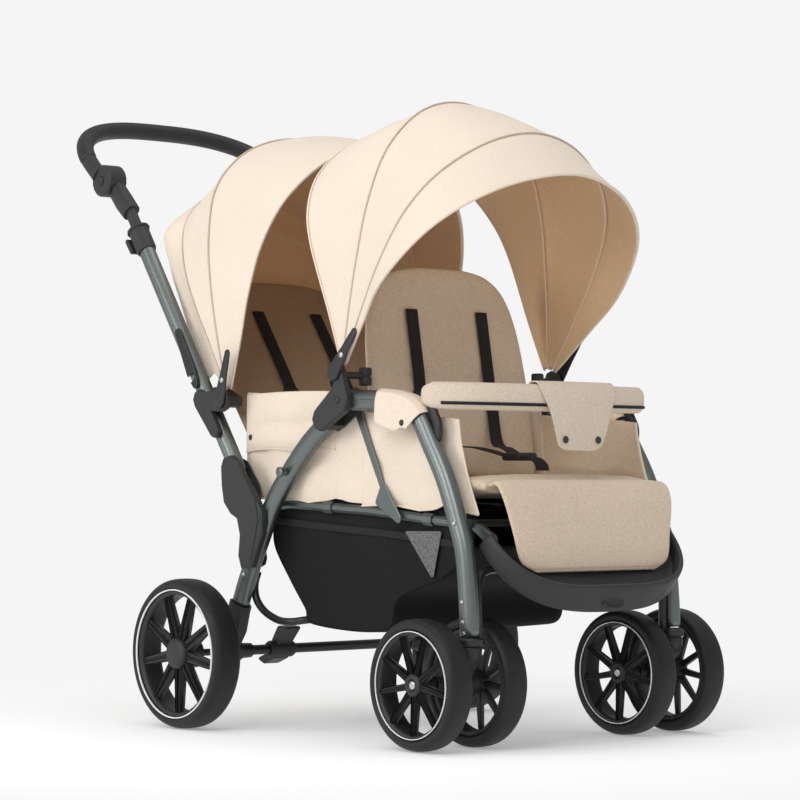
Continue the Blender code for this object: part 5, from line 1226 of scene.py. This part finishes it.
def basket_wall(sign):
    """A function for one side of the basket, from the floor's line up to the seat tube."""
    def where(u, v):
        share = (v + 1) / 2
        rise = (u + 1) / 2
        low = on_line(basket_line, share)
        high = on_line(BASKET_RIM, share)
        slack = math.sin(math.pi * rise) * math.sin(math.pi * share)
        folds = 0.0045 * noise.noise(Vector((share * 7 + rise * 4, rise * 3, sign))) * slack
        return at(sign * (BASKET_HALF - 0.0010 + folds), *low.lerp(high, rise))
    return where


def mesh_window(sign):
    """A function for the three cornered mesh panel in the side of the basket."""
    def where(u, v):
        top = WINDOW[0].lerp(WINDOW[1], (u + 1) / 2)
        spot = WINDOW[2].lerp(top, 0.06 + 0.94 * (v + 1) / 2)
        return at(sign * (BASKET_HALF + 0.0042), *spot)
    return where


for side, sign in SIDES:
    cloth_panel("basket_side_" + side, basket_wall(sign), 24, 60, BASKET_HUB, "rear_frame", (),
                MESH_THICK, mesh_cloth, mesh_cloth, "hung", ["basket_tube"])
    cloth_panel("basket_window_" + side, mesh_window(sign), 12, 12, at(0, -0.46, 0.30), "rear_frame",
                (), 0.0010, pale_mesh, pale_mesh)
    rim_line = smooth_line([at(sign * (BASKET_HALF + 0.0008), *p) for p in BINDING], 40)
    finish("basket_binding_" + side, sweep(rim_line, 0.0012, 0.0060, sides=12, power=4.0), webbing,
           "rear_frame")
print("basket made")

# %% [markdown]
# ## Bumper bar, crotch cover, footrest and calf pad
# The bumper bar and the footrest are both bent into a squared bow, so one function draws their
# lines. Each power says how square the bow is in that direction.

# %% Padded bumper bar
BUMPER_END = (-0.495, 0.5395)
BUMPER_FRONT = (-0.603, 0.5355)
BUMPER_HALF = 0.2120
BUMPER_POWER = 2.2
PAD_POINTS = 90
PAD_TALL = 0.0212
PAD_FLAT = 0.0147
ZIP_OUT = 0.0140
ZIP_DOWN = 0.0115
CORNER_X = 0.15


def bent_bar(half, end, front, powers, steps, count):
    """The line of a bar bent into a bow, from its left end round the front to its right end."""
    across, ahead, down = [2 / power for power in powers]
    left = []
    for k in range(steps):
        turn = math.pi / 2 * k / (steps - 1)
        left.append(at(-half * math.cos(turn) ** across,
                       end[0] + (front[0] - end[0]) * math.sin(turn) ** ahead,
                       end[1] + (front[1] - end[1]) * math.sin(turn) ** down))
    return even(left + [Vector((-p.x, p.y, p.z)) for p in left[-2::-1]], count)


bumper_line = bent_bar(BUMPER_HALF, BUMPER_END, BUMPER_FRONT, (BUMPER_POWER, BUMPER_POWER, 2.0), 40,
                       PAD_POINTS)
tapers = [min(1.0, 0.70 + 0.10 * min(i, PAD_POINTS - 1 - i)) for i in range(PAD_POINTS)]
form = sweep(bumper_line, [PAD_TALL * taper for taper in tapers], [PAD_FLAT * taper for taper in tapers],
             hint=UP, sides=28, power=2.5)
pad = finish("bumper_pad", form, bumper_cloth, "bumper_bar", ("bumper_bar",))
zip_line = []
for i, p in enumerate(bumper_line[6:-6]):
    along = (bumper_line[i + 7] - bumper_line[i + 5]).normalized()
    out = along.cross(UP).normalized()
    if (abs(p.x) < CORNER_X and out.y > 0) or (abs(p.x) >= CORNER_X and out.x * p.x < 0):
        out = -out
    zip_line.append(p + out * ZIP_OUT - UP * ZIP_DOWN)
finish("bumper_zip", sweep(zip_line, 0.0026, 0.0020, hint=UP, sides=10), webbing, "bumper_bar")
print("bumper line points", len(bumper_line))

# %% Crotch cover over the bumper bar
# The cover goes round the bar from behind and hangs down in front. A row of WRAP is (y and z from
# the front of the bar's line, half width). The snaps sit at SNAP_V, where the cover is ROW_HALF
# wide from its middle.
WRAP = [(0.0191, 0.002, 0.078), (0.01026, 0.0236, 0.081), (-0.00855, 0.0246, 0.081),
        (-0.0181, 0.006, 0.078), (-0.0201, -0.025, 0.064), (-0.0191, -0.055, 0.054),
        (-0.0161, -0.074, 0.046), (-0.0151, -0.081, 0.030)]
COVER_SNAP = [(0.0, 0.0058), (0.0010, 0.0056), (0.0018, 0.0040), (0.0020, 0.0)]
SNAP_X = 0.036
SNAP_V = 0.55
ROW_HALF = 0.052
FACING_FRONT = Matrix.Rotation(math.radians(-90), 4, "Z")
cover_middle = side_view_sheet([(BUMPER_FRONT[0] + y, BUMPER_FRONT[1] + z) for y, z, half in WRAP],
                               [half for y, z, half in WRAP])


def cover(u, v):
    """The cover follows the bumper's bow."""
    point = cover_middle(u, v)
    share = min(abs(point.x) / BUMPER_HALF, 1.0)
    bow_in = (BUMPER_FRONT[0] - BUMPER_END[0]) * (1 - (1 - share ** BUMPER_POWER) ** (1 / BUMPER_POWER))
    return point - Vector((0, bow_in, 0))


cloth_panel("crotch_cover_cloth", cover, 36, 48, at(0, -0.590, 0.520), "bumper_bar",
            ("crotch_cover",), 0.0020, bumper_cloth, bumper_cloth, "folded", ["bumper_pad"])
for side, sign in SIDES:
    snap = spun(COVER_SNAP, Vector(), 1, 24)
    spot = cover(sign * SNAP_X / ROW_HALF, SNAP_V) - Vector((0, 0.0012, 0))
    bmesh.ops.transform(snap, matrix=Matrix.Translation(spot) @ FACING_FRONT, verts=snap.verts[:])
    finish("cover_snap_" + side, snap, dark_plastic, "bumper_bar")
print("crotch cover made")

# %% Footrest
FOOT_PIN = (-0.612, 0.318)
FOOT_FRONT = (-0.6850, 0.2280)
FOOT_HALF = 0.1930
FOOT_POINTS = 100
SHELL_ARM = 0.0155
SHELL_LIP = 0.0075
SHELL_THICK = 0.0055
OVAL = [(-0.004, 0.0125), (0.0006, 0.0125), (0.0010, 0.0120), (0.0006, 0.0115), (0.0002, 0.0112),
        (0.0002, 0.0)]
foot_line = bent_bar(FOOT_HALF, FOOT_PIN, FOOT_FRONT, (3.2, 2.3, 2.3), 60, FOOT_POINTS)
slope = Vector((0, FOOT_FRONT[0] - FOOT_PIN[0], FOOT_FRONT[1] - FOOT_PIN[1])).normalized()
arm_up = Vector((0, slope.z, -slope.y))
face_up = Vector((0, -0.42, 0.91)).normalized()
swells = [max(math.sin(math.pi * i / (FOOT_POINTS - 1)), 0.0) for i in range(FOOT_POINTS)]
hints = [arm_up.lerp(face_up, swell ** 1.5).normalized() for swell in swells]
form = sweep(foot_line, [SHELL_ARM + SHELL_LIP * swell for swell in swells], SHELL_THICK, hint=hints,
             sides=28, power=3.4)
finish("footrest_shell", form, dark_plastic, "footrest", ("footrest",))


def tray(u, v):
    """The black inside of the footrest, from its lip up behind the calf pad."""
    share = (u + 1) / 2
    depth = (v + 1) / 2
    point = on_line(foot_line, share)
    swell = math.sin(math.pi * share)
    inward = Vector((point.x * (1 - 0.10 * depth), point.y + 0.052 * depth * swell,
                     point.z + 0.062 * depth * swell))
    return inward - Vector((0, 0, 0.012 * math.sin(math.pi * depth) * swell))


shell = cloth_grid(tray, 80, 10)
bmesh.ops.solidify(shell, geom=shell.faces[:], thickness=0.0024)
bmesh.ops.recalc_face_normals(shell, faces=shell.faces[:])
finish("footrest_tray", shell, black_plastic, "footrest")
oval = spun(OVAL, Vector(), 1, 48)
middle_front = on_line(foot_line, 0.5) + Vector((0, -0.0052, -0.006))
lie = Matrix.Translation(middle_front) @ Matrix.Rotation(math.radians(-25), 4, "X")
stretch = Matrix.Diagonal((1.7, 1, 0.9, 1))
bmesh.ops.transform(oval, matrix=lie @ stretch @ FACING_FRONT, verts=oval.verts[:])
finish("footrest_oval", oval, dark_plastic, "footrest")
print("footrest made")

# %% Calf pad
CALF = [(-0.5975, 0.4000), (-0.622, 0.402), (-0.638, 0.376), (-0.646, 0.325), (-0.6505, 0.285),
        (-0.652, 0.268)]
CALF_HALVES = [0.178, 0.182, 0.180, 0.168, 0.158, 0.128]


def calf_thick(u, v):
    """A thin pad with a sewn border."""
    border = channel(abs(u), 0.25, 0.90, 0.02) + channel(v, 0.25, 0.88, 0.02)
    return crown(u, v, 0.0065, 0.0020, 6) * (1 - border)


cushion("calf_cushion", CALF, CALF_HALVES, calf_thick, (48, 36), melange, "footrest", "calf_pad")
print("calf pad made")

# %% [markdown]
# ## Rear tube of the basket
# One steel tube runs down behind the basket, across under its floor and up on the other side. A
# pipe from a curve object would do as well. The sweep keeps all tubes of this file alike.

# %% Basket tube
WIRE_R = 0.0063
WIRE_HALF = [(-0.1992, -0.0540, 0.2560), (-0.1992, -0.0460, 0.2350), (-0.1992, -0.0500, 0.2120),
             (-0.1992, -0.0720, 0.1920), (-0.1992, -0.1080, 0.1790), (-0.1972, -0.1400, 0.1770),
             (-0.1832, -0.1600, 0.1800), (-0.1542, -0.1666, 0.1821), (-0.0992, -0.1666, 0.1821)]
other_half = [(-x, y, z) for x, y, z in reversed(WIRE_HALF)]
wire_line = smooth_line([at(*p) for p in WIRE_HALF + other_half], 120)
finish("basket_wire", sweep(wire_line, WIRE_R, WIRE_R, hint=(0.1, 1, 0.2), sides=20), dark_paint,
       "rear_frame", ("basket_tube",))
print("basket tube made")

# %% [markdown]
# ## Soft pieces with meshes of their own
# When the frame folds, real cloth crumples. Here the side cloths, the pieces of the basket and the basket
# floor each get a copy of their mesh of their own.

# %% Copy the meshes of the cloth beside the seats and of the basket
BESIDE_SEATS = ("rear_side_", "rear_flap_", "front_side_", "rear_side_hem_", "rear_flap_hem_",
                "front_side_hem_", "front_side_edge_", "flap_snap_")
OF_BASKET = ("basket_side_", "basket_window_", "basket_binding_")
for side, sign in SIDES:
    for stem in BESIDE_SEATS:
        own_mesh(bpy.data.objects[stem + side])
    for stem in OF_BASKET:
        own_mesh(bpy.data.objects[stem + side])
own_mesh(basket_floor)

# %% [markdown]
# ## Camera, floor and light
# The camera stands where the photograph's did: low, in front of the buggy and to its left, far
# away with a long lens. The floor fades into the backdrop, and only the shadows under the wheels
# show where it is.

# %% Camera
SENSOR = 36.0
FOCAL_PIXELS = 2756.1
PHOTO_WIDTH = 800
CAMERA_TILT = 1.708
CAMERA_TURN = -40.376
camera_data = bpy.data.cameras.new("camera")
camera_data.sensor_width = SENSOR
camera_data.lens = FOCAL_PIXELS / PHOTO_WIDTH * SENSOR
camera_data.clip_end = 60.0
camera = bpy.data.objects.new("camera", camera_data)
camera.location = at(-2.990, -3.7004, 0.4054)
camera.rotation_euler = (math.radians(90 + CAMERA_TILT), 0, math.radians(CAMERA_TURN))
bpy.context.scene.collection.objects.link(camera)
bpy.context.scene.camera = camera
print("camera at", [round(c, 3) for c in camera.location], "lens", round(camera_data.lens, 1))

# %% Floor and backdrop
# The floor keeps its own shade out to FADE_FROM metres and is the backdrop's from FADE_TO on.
BACKDROP = 0.913
FLOOR_SHADE = 0.84
FLOOR_GLOW = 0.27
FLOOR_HALF = 20.0
FADE_FROM = 0.60
FADE_TO = 1.35
floor_mesh = bmesh.new()
bmesh.ops.create_grid(floor_mesh, x_segments=1, y_segments=1, size=FLOOR_HALF)
floor_data = bpy.data.meshes.new("floor")
floor_mesh.to_mesh(floor_data)
floor_mesh.free()
floor = bpy.data.objects.new("floor", floor_data)
floor.location = (0, 0, -0.0005)
bpy.context.scene.collection.objects.link(floor)
pale = bpy.data.materials.new("pale floor")
pale.use_nodes = True
nodes = pale.node_tree.nodes
links = pale.node_tree.links
shader = nodes["Principled BSDF"]
shader.inputs["Base Color"].default_value = (FLOOR_SHADE, FLOOR_SHADE, FLOOR_SHADE, 1)
shader.inputs["Roughness"].default_value = 0.9
shader.inputs["Specular IOR Level"].default_value = 0.0
shader.inputs["Emission Color"].default_value = (1, 1, 1, 1)
shader.inputs["Emission Strength"].default_value = FLOOR_GLOW
glow = nodes.new("ShaderNodeEmission")
glow.inputs["Color"].default_value = (BACKDROP, BACKDROP, BACKDROP, 1)
place = nodes.new("ShaderNodeTexCoord")
distance = nodes.new("ShaderNodeVectorMath")
distance.operation = "LENGTH"
links.new(place.outputs["Object"], distance.inputs[0])
fade = nodes.new("ShaderNodeMapRange")
fade.inputs["From Min"].default_value = FADE_FROM
fade.inputs["From Max"].default_value = FADE_TO
links.new(distance.outputs["Value"], fade.inputs["Value"])
blend = nodes.new("ShaderNodeMixShader")
links.new(fade.outputs["Result"], blend.inputs[0])
links.new(shader.outputs[0], blend.inputs[1])
links.new(glow.outputs[0], blend.inputs[2])
links.new(blend.outputs[0], nodes["Material Output"].inputs["Surface"])
floor_data.materials.append(pale)
print("floor laid")

# %% World and lamps
SKY_LIGHT = 0.50
LAMP_TARGET = Vector((0, 0, 0.5))
world = bpy.data.worlds.new("studio")
bpy.context.scene.world = world
world.use_nodes = True
nodes = world.node_tree.nodes
links = world.node_tree.links
sky = nodes["Background"]
sky.inputs["Color"].default_value = (1, 1, 1, 1)
sky.inputs["Strength"].default_value = SKY_LIGHT
seen = nodes.new("ShaderNodeBackground")
seen.inputs["Color"].default_value = (BACKDROP, BACKDROP, BACKDROP, 1)
path_node = nodes.new("ShaderNodeLightPath")
either = nodes.new("ShaderNodeMath")
either.operation = "MAXIMUM"
links.new(path_node.outputs["Is Camera Ray"], either.inputs[0])
links.new(path_node.outputs["Is Transmission Ray"], either.inputs[1])
mix = nodes.new("ShaderNodeMixShader")
links.new(either.outputs[0], mix.inputs[0])
links.new(sky.outputs[0], mix.inputs[1])
links.new(seen.outputs[0], mix.inputs[2])
links.new(mix.outputs[0], nodes["World Output"].inputs["Surface"])


def lamp(name, place, size, watts):
    """A soft area lamp that looks at the middle of the buggy."""
    data = bpy.data.lights.new(name, "AREA")
    data.shape = "DISK"
    data.size = size
    data.energy = watts
    lamp_object = bpy.data.objects.new(name, data)
    lamp_object.location = place
    lamp_object.rotation_euler = (LAMP_TARGET - Vector(place)).to_track_quat("-Z", "Y").to_euler()
    bpy.context.scene.collection.objects.link(lamp_object)


lamp("key", (-3.0, -1.6, 2.5), 2.2, 46)
lamp("top", (0.2, -0.6, 3.6), 2.6, 26)
lamp("side", (-3.4, 1.0, 1.3), 1.8, 33)
bpy.context.scene.view_settings.view_transform = "Standard"
print("lamps set")

# %% The count of pieces and the end
print("pieces", len(made_pieces))
